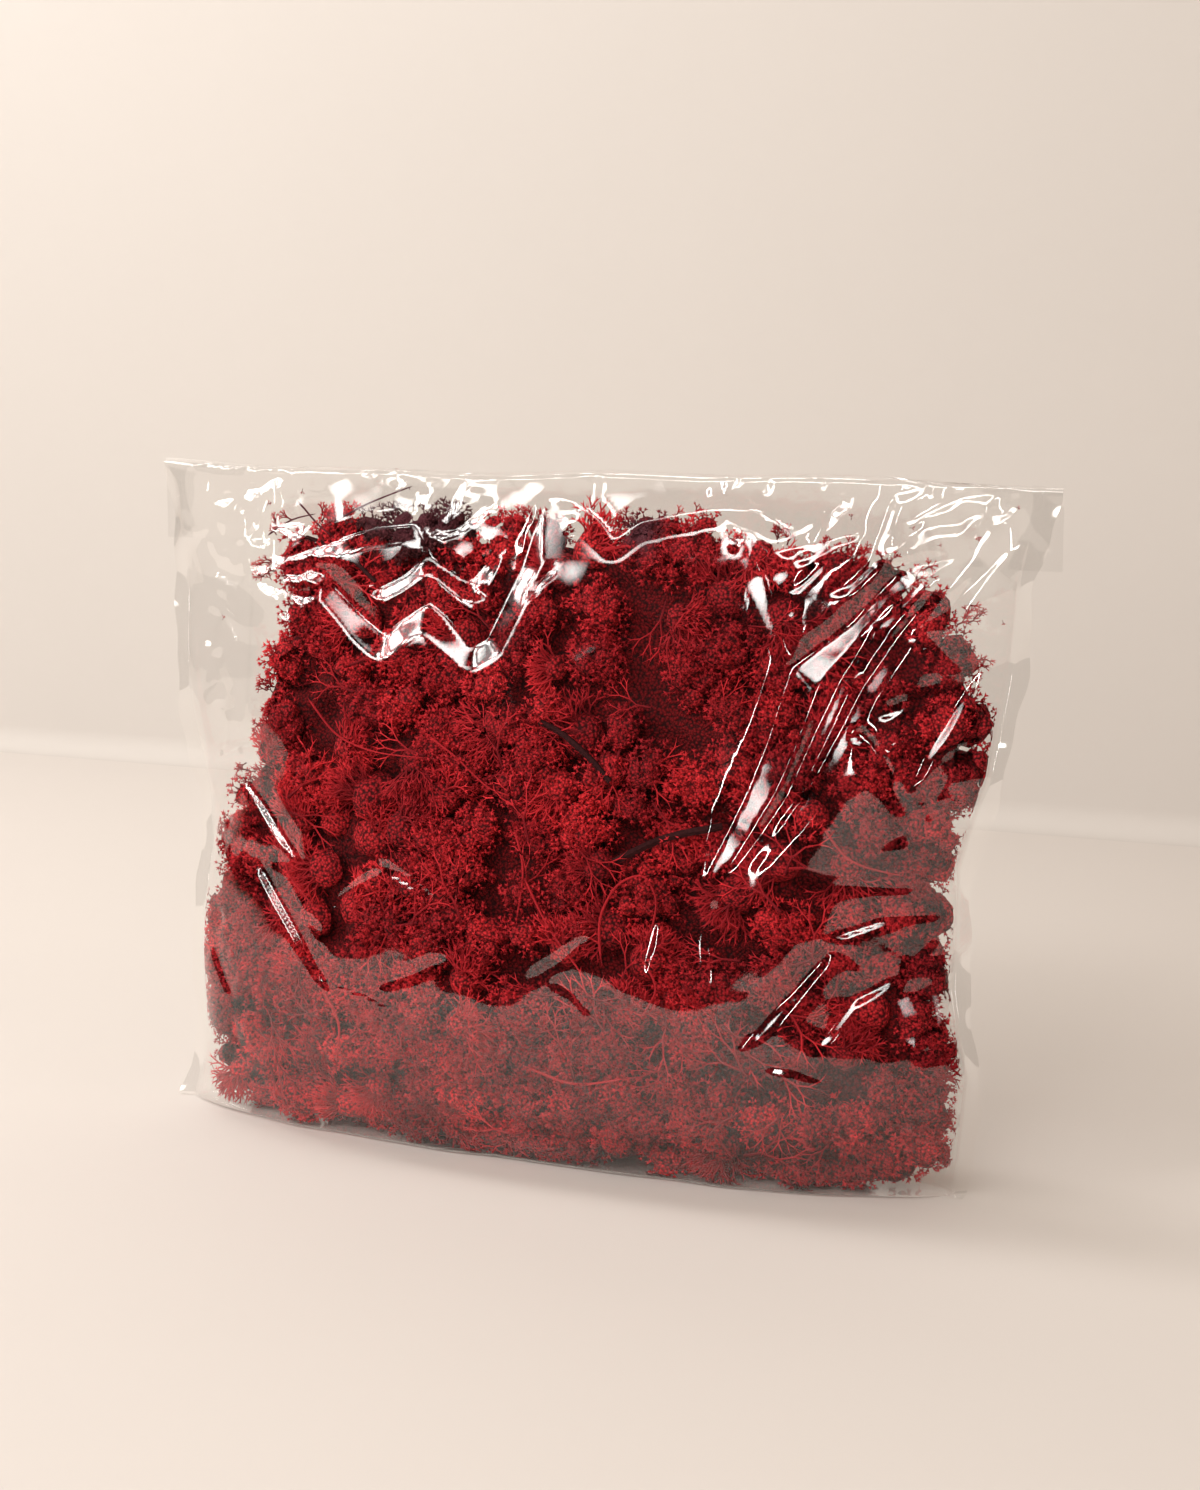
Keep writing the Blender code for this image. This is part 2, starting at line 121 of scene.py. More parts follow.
def fresh_material(name, values):
    """A material, its wiring, its Principled BSDF with some values, and its output node."""
    material = bpy.data.materials.new(name)
    material.use_nodes = True
    nodes = material.node_tree.nodes
    for socket, value in values.items():
        nodes["Principled BSDF"].inputs[socket].default_value = value
    return material, Wiring(material.node_tree), nodes["Principled BSDF"], nodes["Material Output"]


print("node helper ready")

# %% [markdown]
# ## Floor, backdrop and light
#
# Clear film is only seen by what it mirrors, so the surroundings are part of its look. It mirrors three
# things here: the bright floor in front of it, which lays a pale veil over every part that leans forward, the
# dim room above the floor, which leaves the film clear, and the soft boxes, which draw the white creases. So
# the world is given three colours: a pale one for the camera, a nearly black one for what the film mirrors,
# and a low warm one that fills the shadows. The lamps fade towards their rims, as the cloth of a soft box
# does, so that their reflections have soft ends. Most of them are there for the creases. The box above the
# bag gives the shadow at its foot, and one more lamp washes the wall.

# %% Floor and backdrop
FLOOR_COLOUR = (0.665, 0.625, 0.595)
BACKDROP_COLOUR = (0.615, 0.582, 0.555)
FLOOR_FRONT, FLOOR_BACK = -1.0, 0.57
FLOOR_SIDES, WALL_SIDES = (-2.4, 0.62), (-2.4, 2.4)
COVE_RADIUS = 0.015
WALL_HEIGHT = 2.2
COVE_STEPS = 8
PAINT_SPREAD = 0.03


def stage_material(name, colour, roughness):
    """A matt paint with a faint unevenness. It is clear from behind, so a view from there looks through it."""
    material, tree, shader, output = fresh_material(name, {"Roughness": roughness, "Specular IOR Level": 0.25})
    place, noise = tree.add("TexCoord"), tree.add("TexNoise", {"Scale": 2.2, "Detail": 3})
    darker = [channel * (1 - PAINT_SPREAD) for channel in colour]
    lighter = [min(1, channel * (1 + PAINT_SPREAD)) for channel in colour]
    ramp = tree.ramp((0, darker), (1, lighter))
    clear, side, mix = tree.add("BsdfTransparent"), tree.add("NewGeometry"), tree.add("MixShader")
    tree.link(
        (place, "Object", noise, "Vector"),
        (noise, "Fac", ramp, "Fac"),
        (ramp, "Color", shader, "Base Color"),
        (side, "Backfacing", mix, "Fac"),
        (shader, "BSDF", mix, 1),
        (clear, "BSDF", mix, 2),
        (mix, "Shader", output, "Surface"))
    return material


def strip_mesh(name, profile, sides):
    """A sheet with the given (y, z) profile, drawn out to both sides along x."""
    points = [(x, y, z) for y, z in profile for x in sides]
    faces = [(2 * k, 2 * k + 1, 2 * k + 3, 2 * k + 2) for k in range(len(profile) - 1)]
    mesh = bpy.data.meshes.new(name)
    mesh.from_pydata(points, [], faces)
    mesh.shade_smooth()
    sheet = bpy.data.objects.new(name, mesh)
    bpy.context.scene.collection.objects.link(sheet)
    return sheet


cove_turns = [math.pi / 2 * step / COVE_STEPS for step in range(COVE_STEPS + 1)]
cove = [(FLOOR_BACK + COVE_RADIUS * math.sin(a), COVE_RADIUS * (1 - math.cos(a))) for a in cove_turns]
floor = strip_mesh("floor", [(FLOOR_FRONT, 0), (FLOOR_BACK, 0)], FLOOR_SIDES)
backdrop = strip_mesh("backdrop", [*cove, (FLOOR_BACK + COVE_RADIUS, WALL_HEIGHT)], WALL_SIDES)
floor.data.materials.append(stage_material("pale_floor", FLOOR_COLOUR, 0.75))
backdrop.data.materials.append(stage_material("pale_backdrop", BACKDROP_COLOUR, 0.85))
print("stage pieces", floor.name, backdrop.name)

# %% Soft boxes and the dim room
TARGET, WALL_TARGET = Vector((-0.01, 0, 0.13)), Vector((-0.80, 0.585, 0.60))
WARM_WHITE = (1.0, 0.975, 0.945)
WINDOW_PLACE, WINDOW_COLUMNS, WINDOW_ROWS = Vector((-1.24, -0.86, 1.03)), 4, 2
PANE_STEP, PANE_SIZE, PANE_POWER = 0.235, 0.20, 1.3
LAMPS = {
    "high_strip": {"place": (0.05, -0.98, 0.87), "size": (1.5, 0.24), "power": 7.5},
    "window_glow": {"place": (-1.27, -0.88, 1.05), "size": (1.15, 0.60), "power": 2.5},
    "corner_box": {"place": (-0.80, -1.10, 0.69), "size": (0.36, 0.24), "power": 1.7},
    "front_strip": {"place": (0.05, -1.55, 0.44), "size": (0.09, 0.50), "power": 2.6},
    "top_box": {"place": (-0.28, 0.10, 1.15), "size": (0.34, 0.34), "power": 3.0},
    "side_box": {"place": (1.35, -0.35, 0.60), "size": (0.30, 0.60), "power": 1.5},
    "wall_wash": {"place": (-1.15, 0.10, 1.05), "size": (0.5, 0.5), "power": 7.0, "target": WALL_TARGET},
}
CAMERA_SKY, FILL_SKY, MIRROR_SKY = (0.72, 0.62, 0.54), (1.0, 0.68, 0.37), (0.006, 0.004, 0.004)
FILL_STRENGTH = 0.25
SOFT_BOX_GAIN = 36.0


def soften(lamp):
    """Lets a lamp fade from its middle to its rim, as the cloth of a soft box does: 36 u (1 - u) v (1 - v).
    The mean of that is 1, so the lamp keeps its power."""
    lamp.use_nodes = True
    tree = Wiring(lamp.node_tree)
    place, parts = tree.add("NewGeometry"), tree.add("SeparateXYZ")
    both = tree.add("Math", operation="MULTIPLY")
    scale = tree.add("Math", {1: SOFT_BOX_GAIN}, operation="MULTIPLY")
    tree.link((place, "Parametric", parts, "Vector"))
    for number, axis in enumerate("XY"):
        rest, fade = tree.add("Math", {0: 1}, operation="SUBTRACT"), tree.add("Math", operation="MULTIPLY")
        tree.link((parts, axis, rest, 1), (parts, axis, fade, 0), (rest, 0, fade, 1), (fade, 0, both, number))
    tree.link((both, 0, scale, 0), (scale, 0, lamp.node_tree.nodes["Emission"], "Strength"))


def soft_box(name, place, size, power, target=TARGET):
    """A rectangular lamp that faces the bag, or another target."""
    lamp = bpy.data.lights.new(name, "AREA")
    lamp.shape = "RECTANGLE"
    lamp.size, lamp.size_y = size
    lamp.energy = power
    lamp.color = WARM_WHITE
    soften(lamp)
    holder = bpy.data.objects.new(name, lamp)
    holder.location = place
    holder.rotation_euler = (target - Vector(place)).to_track_quat("-Z", "Y").to_euler()
    bpy.context.scene.collection.objects.link(holder)


for name, lamp in LAMPS.items():
    soft_box(name, **lamp)
window_turn = (TARGET - WINDOW_PLACE).to_track_quat("-Z", "Y")
for column in range(WINDOW_COLUMNS):
    for row in range(WINDOW_ROWS):
        sideways, upwards = column - (WINDOW_COLUMNS - 1) / 2, row - (WINDOW_ROWS - 1) / 2
        offset = window_turn @ Vector((sideways * PANE_STEP, upwards * PANE_STEP, 0))
        soft_box(f"window_pane_{column}_{row}", WINDOW_PLACE + offset, (PANE_SIZE, PANE_SIZE), PANE_POWER)

world = bpy.data.worlds.new("studio")
bpy.context.scene.world = world
world.use_nodes = True
tree = Wiring(world.node_tree)
ray, for_mirror, for_camera = tree.add("LightPath"), tree.add("MixShader"), tree.add("MixShader")
fill_sky, mirror_sky, camera_sky = (
    tree.add("Background", {"Color": (*colour, 1), "Strength": strength})
    for colour, strength in ((FILL_SKY, FILL_STRENGTH), (MIRROR_SKY, 1.0), (CAMERA_SKY, 1.0)))
tree.link(
    (ray, "Is Glossy Ray", for_mirror, "Fac"),
    (fill_sky, "Background", for_mirror, 1),
    (mirror_sky, "Background", for_mirror, 2),
    (ray, "Is Camera Ray", for_camera, "Fac"),
    (for_mirror, "Shader", for_camera, 1),
    (camera_sky, "Background", for_camera, 2),
    (for_camera, "Shader", world.node_tree.nodes["World Output"], "Surface"))
bpy.context.scene.view_settings.view_transform = "Standard"

# %% [markdown]
# ## The bag's own curves
#
# The filled bag is a pillow. Seen from the front it has two nearly straight sides, with welded seams. Seen
# from the side it is widest low down, where the moss has settled, and comes together at the top. A few pairs
# of numbers say each of these curves, in millimetres, and every later step asks them where the film is. A
# straight line between pairs would leave a visible kink in a mirror-like film, so the depth is averaged over
# a short reach.

# %% Outline and depth of the bag
LEFT_SIDE = ((0, -154), (20, -151), (95, -145), (140, -149.5), (205, -154), (226, -155))
RIGHT_SIDE = ((0, 131), (40, 136), (68, 130), (105, 131), (135, 141), (195, 148), (219, 154.8), (226, 155))
FRONT_DEPTH = ((0, 19), (8, 28), (20, 33.8), (34, 36.6), (48, 37.2), (58, 36.8), (70, 35.5), (85, 33.0),
               (105, 29.3), (140, 22.4), (168, 16.4), (196, 9.4), (213, 4.2), (219, 2.4), (226, 0.8))
BACK_DEPTH = ((0, 19), (8, 27), (25, 33.8), (50, 36.4), (68, 36.4), (105, 34.6), (140, 30.6),
              (168, 26.2), (188, 20.4), (202, 14.0), (212, 7.6), (219, 0.8), (226, 0.5))
SEAM_FIN = 5.0
DEPTH_REACH, DEPTH_SAMPLES = 7.0, 9
PROFILE_POWER, PROFILE_FULLNESS = 3.0, 0.7
SEAM_WAVE, SEAM_WAVE_LENGTH, SEAM_WAVE_LAG, SEAM_WAVE_POWER = 3.0, 85.0, 1.5, 6
SEAM_WAVE_END, SEAM_WAVE_FADE = 200, 30


def along(pairs, at):
    """Straight lines between (place, value) pairs."""
    places, values = zip(*pairs)
    return np.interp(at, places, values)


def soft_along(pairs, at):
    """The same, with its kinks rounded over a reach to each side."""
    steps = np.linspace(-1, 1, DEPTH_SAMPLES)
    return sum(along(pairs, at + step * DEPTH_REACH) for step in steps) / DEPTH_SAMPLES


def across(x, z):
    """Where x lies between the two seams: -1 at the left one and 1 at the right one."""
    left, right = along(LEFT_SIDE, z) + SEAM_FIN, along(RIGHT_SIDE, z) - SEAM_FIN
    return np.clip((2 * x - left - right) / (right - left), -1, 1)


def seam_sway(x, z):
    """The two seams don't run straight up: each sways a little to the front and back."""
    u = across(x, z)
    phase = 2 * math.pi * z / SEAM_WAVE_LENGTH + SEAM_WAVE_LAG * (u > 0)
    fade = np.clip((SEAM_WAVE_END - z) / SEAM_WAVE_FADE, 0, 1)
    return SEAM_WAVE * np.sin(phase) * np.abs(u) ** SEAM_WAVE_POWER * fade


def pillow(x, z, depth):
    """How far the film stands from the bag's middle plane, without any crease."""
    return soft_along(depth, z) * (1 - np.abs(across(x, z)) ** PROFILE_POWER) ** PROFILE_FULLNESS


print("depth at mid height in mm", round(float(pillow(0.0, 110.0, FRONT_DEPTH)), 1))

# %% [markdown]
# ## Creases
#
# Crisp film can't stretch, so where the bag isn't full it folds into flat facets that meet at sharp creases.
# A cloth solver could find such folds, but it rounds them off and puts them where it likes. Here each crease
# is a line along which the film is pushed in: a long gentle slope on one side of it, which mirrors the floor,
# and a narrow steep strip on the other, which mirrors a soft box. Where two creases meet, the deeper one
# wins, and that leaves the hard corners of real film.

# %% Creases of the front, given one by one
END_TAPER, LEAST_WIDTH = 6, 0.02
NAMED_CREASES = (
    # points (x, z) from left to right, depth, reach above the line, width of the strip below it
    (((-107, 192), (-89, 189), (-72, 175), (-64, 170), (-60, 174), (-49, 181), (-43, 177), (-32, 168),
      (-27, 171), (-22, 182), (-17, 194), (-13, 211), (-13, 218)), 2.2, 8, 7.5),
    (((-107, 192), (-91, 198), (-73, 204), (-57, 206), (-49, 195), (-35, 188), (-25, 200), (-17, 194)),
     1.6, 5, 5.6),
    (((-73, 183), (-60, 189), (-51, 196), (-48, 193)), 1.3, 5, 5.0),
    (((-117, 186), (-97, 181), (-87, 184)), 0.9, 4, 3.0),
    (((-13, 218), (-1, 215), (8, 209), (14, 203), (22, 209), (44, 214), (62, 214), (72, 207), (75, 216)),
     1.6, 6, 6.0),
    (((60, 205), (70, 182), (76, 169), (84, 173), (91, 177), (88, 186)), 1.7, 6, 5.2),
    (((52, 98), (64, 128), (70, 145), (76, 167), (93, 181), (109, 199), (127, 203)), 2.6, 6, 9.5),
    (((60, 101), (77, 128), (84, 146), (91, 164), (100, 180), (119, 200)), 1.8, 4, 6.5),
    (((66, 104), (84, 131), (92, 148), (98, 162), (107, 177), (124, 199)), 1.6, 3.5, 5.5),
    (((84, 189), (92, 193), (98, 199), (102, 214), (105, 222)), 1.4, 5, 4.6),
    (((79, 200), (84, 214), (91, 220)), 1.1, 4, 3.6),
    (((103, 209), (114, 215), (125, 221), (140, 223)), 1.5, 6, 5.0),
    (((118, 180), (141, 207), (152, 221)), 1.1, 4, 3.4),
    (((109, 183), (118, 176), (131, 163)), 1.3, 6, 3.6),
    (((112, 127), (117, 141), (126, 158), (137, 178)), 2.0, 10, 3.6),
    (((115, 137), (118, 127), (127, 110), (135, 132)), 1.6, 9, 3.0),
    (((94, 151), (103, 143), (112, 131)), 1.3, 5, 2.6),
    (((90, 85), (106, 91), (128, 92)), 1.7, 8, 3.0),
    (((66, 49), (82, 68), (94, 84)), 1.6, 8, 3.0),
    (((89, 50), (99, 66), (115, 76)), 1.6, 8, 3.0),
    (((96, 150), (106, 139), (118, 118), (131, 104)), 1.3, 4, 6),
    (((104, 112), (118, 124), (133, 150)), 1.3, 4, 6),
    (((-119, 118), (-118, 150), (-119, 192)), 1.2, 4, 3.2),
    (((-127, 126), (-109, 111), (-89, 93)), 1.7, 7, 3.0),
    (((-113, 96), (-89, 70), (-74, 52)), 1.8, 7, 3.0),
    (((-148, 45), (-133, 60), (-119, 42)), 1.5, 9, 3.0),
    (((-128, 214), (-118, 204), (-112, 216)), 1.3, 6, 4.4),
    (((-152, 205), (-140, 212), (-131, 198), (-124, 214), (-108, 220)), 1.7, 7, 5.6),
    (((-148, 190), (-138, 200), (-133, 185)), 1.3, 6, 4.2),
)


def crease_depth(x, z, points, depth, above, strip):
    """How far one crease pushes the film in at each place. It fades to a point at both ends."""
    spans = [math.dist(a, b) for a, b in zip(points, points[1:])]
    total, gone = sum(spans), 0.0
    pushed = np.zeros_like(x)
    for (x0, z0), (x1, z1), span in zip(points, points[1:], spans):
        way_x, way_z = (x1 - x0) / span, (z1 - z0) / span
        along_span = np.clip((x - x0) * way_x + (z - z0) * way_z, 0, span)
        off_x, off_z = x - x0 - along_span * way_x, z - z0 - along_span * way_z
        travel = (gone + along_span) / total
        fade = np.clip(np.minimum(travel, 1 - travel) * END_TAPER, LEAST_WIDTH, 1)
        reach = np.where(way_x * off_z - way_z * off_x > 0, above, strip) * fade
        pushed = np.maximum(pushed, depth * fade * np.clip(1 - np.hypot(off_x, off_z) / reach, 0, 1))
        gone += span
    return pushed


print("creases placed by eye", len(NAMED_CREASES))

# %% [markdown]
# The rest of the film has smaller creases, more of them near the top and the seams, and soft waves where it
# lies tight over the moss. They are drawn at random from a fixed seed. The middle of the front lies smooth,
# so the creases that would start there are left out. The waves are low, half a millimetre or so, but they
# bend the line where the mirrored floor ends.

# %% Random creases and waves
CREASE_SEED = 11
CREASE_BEND = 22
# how far a crease reaches to each side, as a multiple of its depth
SLOPE_SHARE, STRIP_SHARE = (3.5, 6.5), (2.0, 3.8)
CALM_X, CALM_Z = (-125, 62), (100, 178)


def random_creases(rng, count, x_range, z_range, length, depth, lean):
    """Short bent creases that start inside a rectangle. lean is their angle from level, with its spread."""
    made = []
    for _ in range(count):
        x, z = rng.uniform(*x_range), rng.uniform(*z_range)
        turn, span = math.radians(rng.normal(*lean)), rng.uniform(*length)
        bend = math.radians(rng.normal(0, CREASE_BEND))
        ends = [(x, z)]
        for step_turn in (turn, turn + bend):
            x, z = x + span / 2 * math.cos(step_turn), z + span / 2 * math.sin(step_turn)
            ends.append((x, z))
        if ends[0][0] > ends[-1][0]:
            ends.reverse()
        deep = rng.uniform(*depth)
        made.append((tuple(ends), deep, deep * rng.uniform(*SLOPE_SHARE), deep * rng.uniform(*STRIP_SHARE)))
    return made


def wave_field(rng, x, z, count, length, height):
    """Several low waves in random directions, added up."""
    total = np.zeros_like(x)
    for _ in range(count):
        turn, size = rng.uniform(0, math.pi), rng.uniform(*length)
        phase = 2 * math.pi * (x * math.cos(turn) + z * math.sin(turn)) / size + rng.uniform(0, 2 * math.pi)
        total += height * size / length[1] * np.sin(phase)
    return total


def crumple_field(rng, x, z, count, length, height):
    """Like wave_field, with a sharp fold along each crest."""
    total = np.zeros_like(x)
    for _ in range(count):
        turn, size = rng.uniform(0, math.pi), rng.uniform(*length)
        bend = 1.4 * np.sin((x * math.sin(turn) - z * math.cos(turn)) / size * 1.7 + rng.uniform(0, 6))
        phase = math.pi * (x * math.cos(turn) + z * math.sin(turn)) / size + bend
        total += height * size / length[1] * (np.abs(np.sin(phase)) - 0.6)
    return total


def away_from_calm(creases):
    """Leaves out the creases that start where the film lies tight and smooth over the moss."""
    (x_low, x_high), (z_low, z_high) = CALM_X, CALM_Z
    return [crease for crease in creases
            if not (x_low < crease[0][0][0] < x_high and z_low < crease[0][0][1] < z_high)]


crease_rng = np.random.default_rng(CREASE_SEED)
# count, where they start in x and z, length, depth, angle from level with its spread
FRONT_PATCHES = (
    (24, (-150, 145), (198, 222), (10, 34), (0.6, 1.4), (80, 50)),
    (30, (-153, -106), (186, 223), (8, 26), (0.7, 1.7), (70, 60)),
    (16, (100, 150), (196, 223), (10, 30), (0.6, 1.5), (55, 30)),
    (24, (-120, 120), (150, 205), (12, 40), (0.5, 1.2), (20, 50)),
    (20, (100, 136), (25, 185), (10, 34), (0.5, 1.2), (60, 40)),
    (26, (-150, -118), (20, 190), (10, 32), (0.6, 1.5), (90, 35)),
    (18, (-110, 110), (35, 110), (14, 36), (0.35, 0.8), (25, 30)),
    (16, (112, 130), (6, 100), (8, 24), (0.8, 1.9), (70, 30)),
)
BACK_PATCHES = (
    (34, (-150, 145), (180, 220), (14, 50), (0.8, 2.2), (60, 45)),
    (34, (-130, 120), (90, 190), (14, 50), (0.6, 1.8), (30, 50)),
    (40, (-145, 130), (12, 110), (12, 40), (0.5, 1.4), (40, 50)),
)
front_random, back_random = (
    [crease for patch in patches for crease in random_creases(crease_rng, *patch)]
    for patches in (FRONT_PATCHES, BACK_PATCHES))
front_creases, back_creases = [*NAMED_CREASES, *away_from_calm(front_random)], back_random
print("creases", len(front_creases), "in front and", len(back_creases), "behind")

# %% The two film surfaces
WAVES = {"count": 9, "length": (24, 70), "height": 0.30}
CRUMPLE = {"count": 7, "length": (7, 26), "height": 0.26}
CRUMPLE_PATCHES = {"count": 4, "length": (40, 90), "height": 0.5}
LOOSE_FROM, LOOSE_OVER, LOOSE_RANGE = 150, 60, (0.12, 1.15)
SEAM_FROM, SEAM_RISE, SEAM_MOST = 0.78, 3.5, 0.8
EDGE_RISE = 10


def relief(x, z, creases, seed):
    """How far the film lies inside the smooth pillow, in mm: creases, waves and a fine crumple.
    The crumple is strongest at the loose top and near the seams, comes in patches and ends at the seams."""
    rng = np.random.default_rng(seed)
    pushed = np.zeros_like(x)
    for crease in creases:
        pushed = np.maximum(pushed, crease_depth(x, z, *crease))
    from_middle = np.abs(across(x, z))
    waves = wave_field(rng, x, z, **WAVES)
    loose = np.clip((z - LOOSE_FROM) / LOOSE_OVER, *LOOSE_RANGE)
    loose = loose + np.clip((from_middle - SEAM_FROM) * SEAM_RISE, 0, SEAM_MOST)
    crumple = crumple_field(rng, x, z, **CRUMPLE) * loose
    crumple = crumple * np.clip(0.5 + wave_field(rng, x, z, **CRUMPLE_PATCHES), 0.1, 1)
    return (pushed + waves + crumple) * np.clip((1 - from_middle) * EDGE_RISE, 0, 1)


def front_film(x, z):
    """Where the front sheet is from front to back, in mm. The back sheet is worked out in the same way."""
    return seam_sway(x, z) - pillow(x, z, FRONT_DEPTH) + relief(x, z, front_creases, CREASE_SEED)


def back_film(x, z):
    return seam_sway(x, z) + pillow(x, z, BACK_DEPTH) - relief(x, z, back_creases, CREASE_SEED + 1)


print("front film at mid height", np.round(front_film(np.array([0.0]), np.array([110.0])), 1))

# %% [markdown]
# ## Room for the moss
#
# The moss is pressed against the film, so it needs to know where the film is, for half a million points. The
# film's place is worked out once on a 1 mm grid and then looked up. A point that would lie outside is moved
# in to just behind the film, which flattens the moss there just as the real bag does.

# %% A lookup of both film sides
GRID_X, GRID_Z = np.arange(-158.0, 159.0), np.arange(0.0, 227.0)
FILM_GAP, SEAM_GAP = 0.9, 2
MOSS_HEIGHTS = (1.2, 219)
grid_x, grid_z = np.meshgrid(GRID_X, GRID_Z)
front_grid, back_grid = front_film(grid_x, grid_z), back_film(grid_x, grid_z)


def look_up(grid, x, z):
    """The grid's value at any place, straight between its four neighbours."""
    column = np.clip(x - GRID_X[0], 0, len(GRID_X) - 1.001)
    row = np.clip(z - GRID_Z[0], 0, len(GRID_Z) - 1.001)
    i, j = column.astype(int), row.astype(int)
    right, up = column - i, row - j
    low = grid[j, i] * (1 - right) + grid[j, i + 1] * right
    high = grid[j + 1, i] * (1 - right) + grid[j + 1, i + 1] * right
    return low * (1 - up) + high * up


def press_in(points):
    """Moves points, in mm, to inside the film."""
    x, y, z = points.T
    z = np.clip(z, *MOSS_HEIGHTS)
    left, right = along(LEFT_SIDE, z) + SEAM_FIN + SEAM_GAP, along(RIGHT_SIDE, z) - SEAM_FIN - SEAM_GAP
    x = np.clip(x, left, right)
    front, back = look_up(front_grid, x, z) + FILM_GAP, look_up(back_grid, x, z) - FILM_GAP
    middle = (front + back) / 2
    y = np.clip(y, np.minimum(front, middle), np.maximum(back, middle))
    return np.stack([x, y, z], axis=1)


print("film looked up at", grid_x.size, "places")

# %% [markdown]
# ## Moss: one sprig
#
# Reindeer moss grows by forking: each branch splits into two or three thinner ones, four or five times over.
# Grown by a rule, a sprig is a list of branches, and each branch is a tube with three sides, the last ones
# closed to a point. Four habits are needed. A sprout is short and bushy and covers the heads, a head sprig is
# more open and stands in the ragged edge, a fan is longer and flatter and shows its stems, and a runner
# creeps along the film.

# %% Growing a sprig
# forks at each level, then lengths and radii in mm; flat is 1 for a round sprig and less for a flat one
SPROUT = {"forks": (3, 4), "length": 1.65, "shorten": 0.84, "spread": 42, "radius": 0.44, "thin": 0.86,
          "taper": 0.0, "flat": 1.0}
HEAD = {"forks": (3, 3, 3), "length": 2.2, "shorten": 0.80, "spread": 38, "radius": 0.42, "thin": 0.78,
        "taper": 0.85, "flat": 1.0}
FAN = {"forks": (2, 2, 2, 2), "length": 4.6, "shorten": 0.80, "spread": 25, "radius": 0.52, "thin": 0.84,
       "taper": 0.9, "flat": 0.4}
RUNNER = {"forks": (2, 2, 2, 2), "length": 7.2, "shorten": 0.84, "spread": 24, "radius": 0.62, "thin": 0.80,
          "taper": 0.85, "flat": 0.3}
TUBE_SIDES = 3
SHORTEST = 1e-9
HABITS = ((SPROUT, 10), (HEAD, 6), (FAN, 6), (RUNNER, 6))


def unit(v):
    return v / np.linalg.norm(v)


def unit_rows(rows):
    return rows / np.maximum(np.linalg.norm(rows, axis=-1, keepdims=True), SHORTEST)


def grow(branches, rng, habit, start, way, side, level):
    """Adds one branch, and those that fork from its end."""
    length = habit["length"] * habit["shorten"] ** level * rng.uniform(0.75, 1.25)
    radius = habit["radius"] * habit["thin"] ** level
    end = start + way * length
    last = level == len(habit["forks"])
    end_radius = 0 if last else radius * habit["taper"]
    branches.append((start, end, radius, end_radius, level / (len(habit["forks"]) + 1)))
    if last:
        return
    other = np.cross(way, side)
    first_turn = rng.uniform(-0.5, 0.5)
    forks = habit["forks"][level]
    for fork in range(forks):
        turn = first_turn + 2 * math.pi * fork / forks
        lean = unit(side * math.cos(turn) + other * math.sin(turn) * habit["flat"])
        spread = math.radians(habit["spread"] * rng.uniform(0.7, 1.3))
        new_way = unit(way * math.cos(spread) + lean * math.sin(spread))
        in_plane, turned = lean - new_way * (lean @ new_way), np.cross(new_way, lean)
        new_side = unit(in_plane if habit["flat"] < 1 else turned)
        grow(branches, rng, habit, end, new_way, new_side, level + 1)


def tube(start, end, radius, end_radius):
    """Points and triangles of one branch. An end of no radius is a point."""
    way = unit(end - start)
    side = unit(np.cross(way, (0.31, 0.83, 0.47)))
    other = np.cross(way, side)
    turns = 2 * math.pi * np.arange(TUBE_SIDES) / TUBE_SIDES
    ring = np.outer(np.cos(turns), side) + np.outer(np.sin(turns), other)
    nexts = (np.arange(TUBE_SIDES) + 1) % TUBE_SIDES
    here = np.arange(TUBE_SIDES)
    if end_radius == 0:
        tip = np.full(TUBE_SIDES, TUBE_SIDES)
        return np.vstack([start + ring * radius, end]), np.stack([here, nexts, tip], axis=1)
    points = np.vstack([start + ring * radius, end + ring * end_radius])
    lower = np.stack([here, nexts, nexts + TUBE_SIDES], axis=1)
    upper = np.stack([here, nexts + TUBE_SIDES, here + TUBE_SIDES], axis=1)
    return points, np.vstack([lower, upper])


def sprig_shape(habit, seed):
    """Points, triangles and a height from 0 at the foot to 1 at the tips."""
    rng = np.random.default_rng(seed)
    branches, points, faces, heights = [], [], [], []
    grow(branches, rng, habit, np.zeros(3), np.array([0.0, 0, 1]), np.array([1.0, 0, 0]), 0)
    count = 0
    for start, end, radius, end_radius, height in branches:
        part_points, part_faces = tube(start, end, radius, end_radius)
        points.append(part_points)
        faces.append(part_faces + count)
        step = 1 / (len(habit["forks"]) + 1)
        heights.append(height + step * (np.arange(len(part_points)) >= TUBE_SIDES))
        count += len(part_points)
    return np.vstack(points), np.vstack(faces), np.concatenate(heights)


SPRIG_SHAPES, KIND_RANGES = [], []
for number, (habit, count) in enumerate(HABITS):
    KIND_RANGES.append((len(SPRIG_SHAPES), len(SPRIG_SHAPES) + count))
    SPRIG_SHAPES += [sprig_shape(habit, 100 * number + seed) for seed in range(count)]
SPROUT_RANGE, HEAD_RANGE, FAN_RANGE, RUNNER_RANGE = KIND_RANGES
print("triangles of the habits", [len(SPRIG_SHAPES[first][1]) for first, _ in KIND_RANGES])
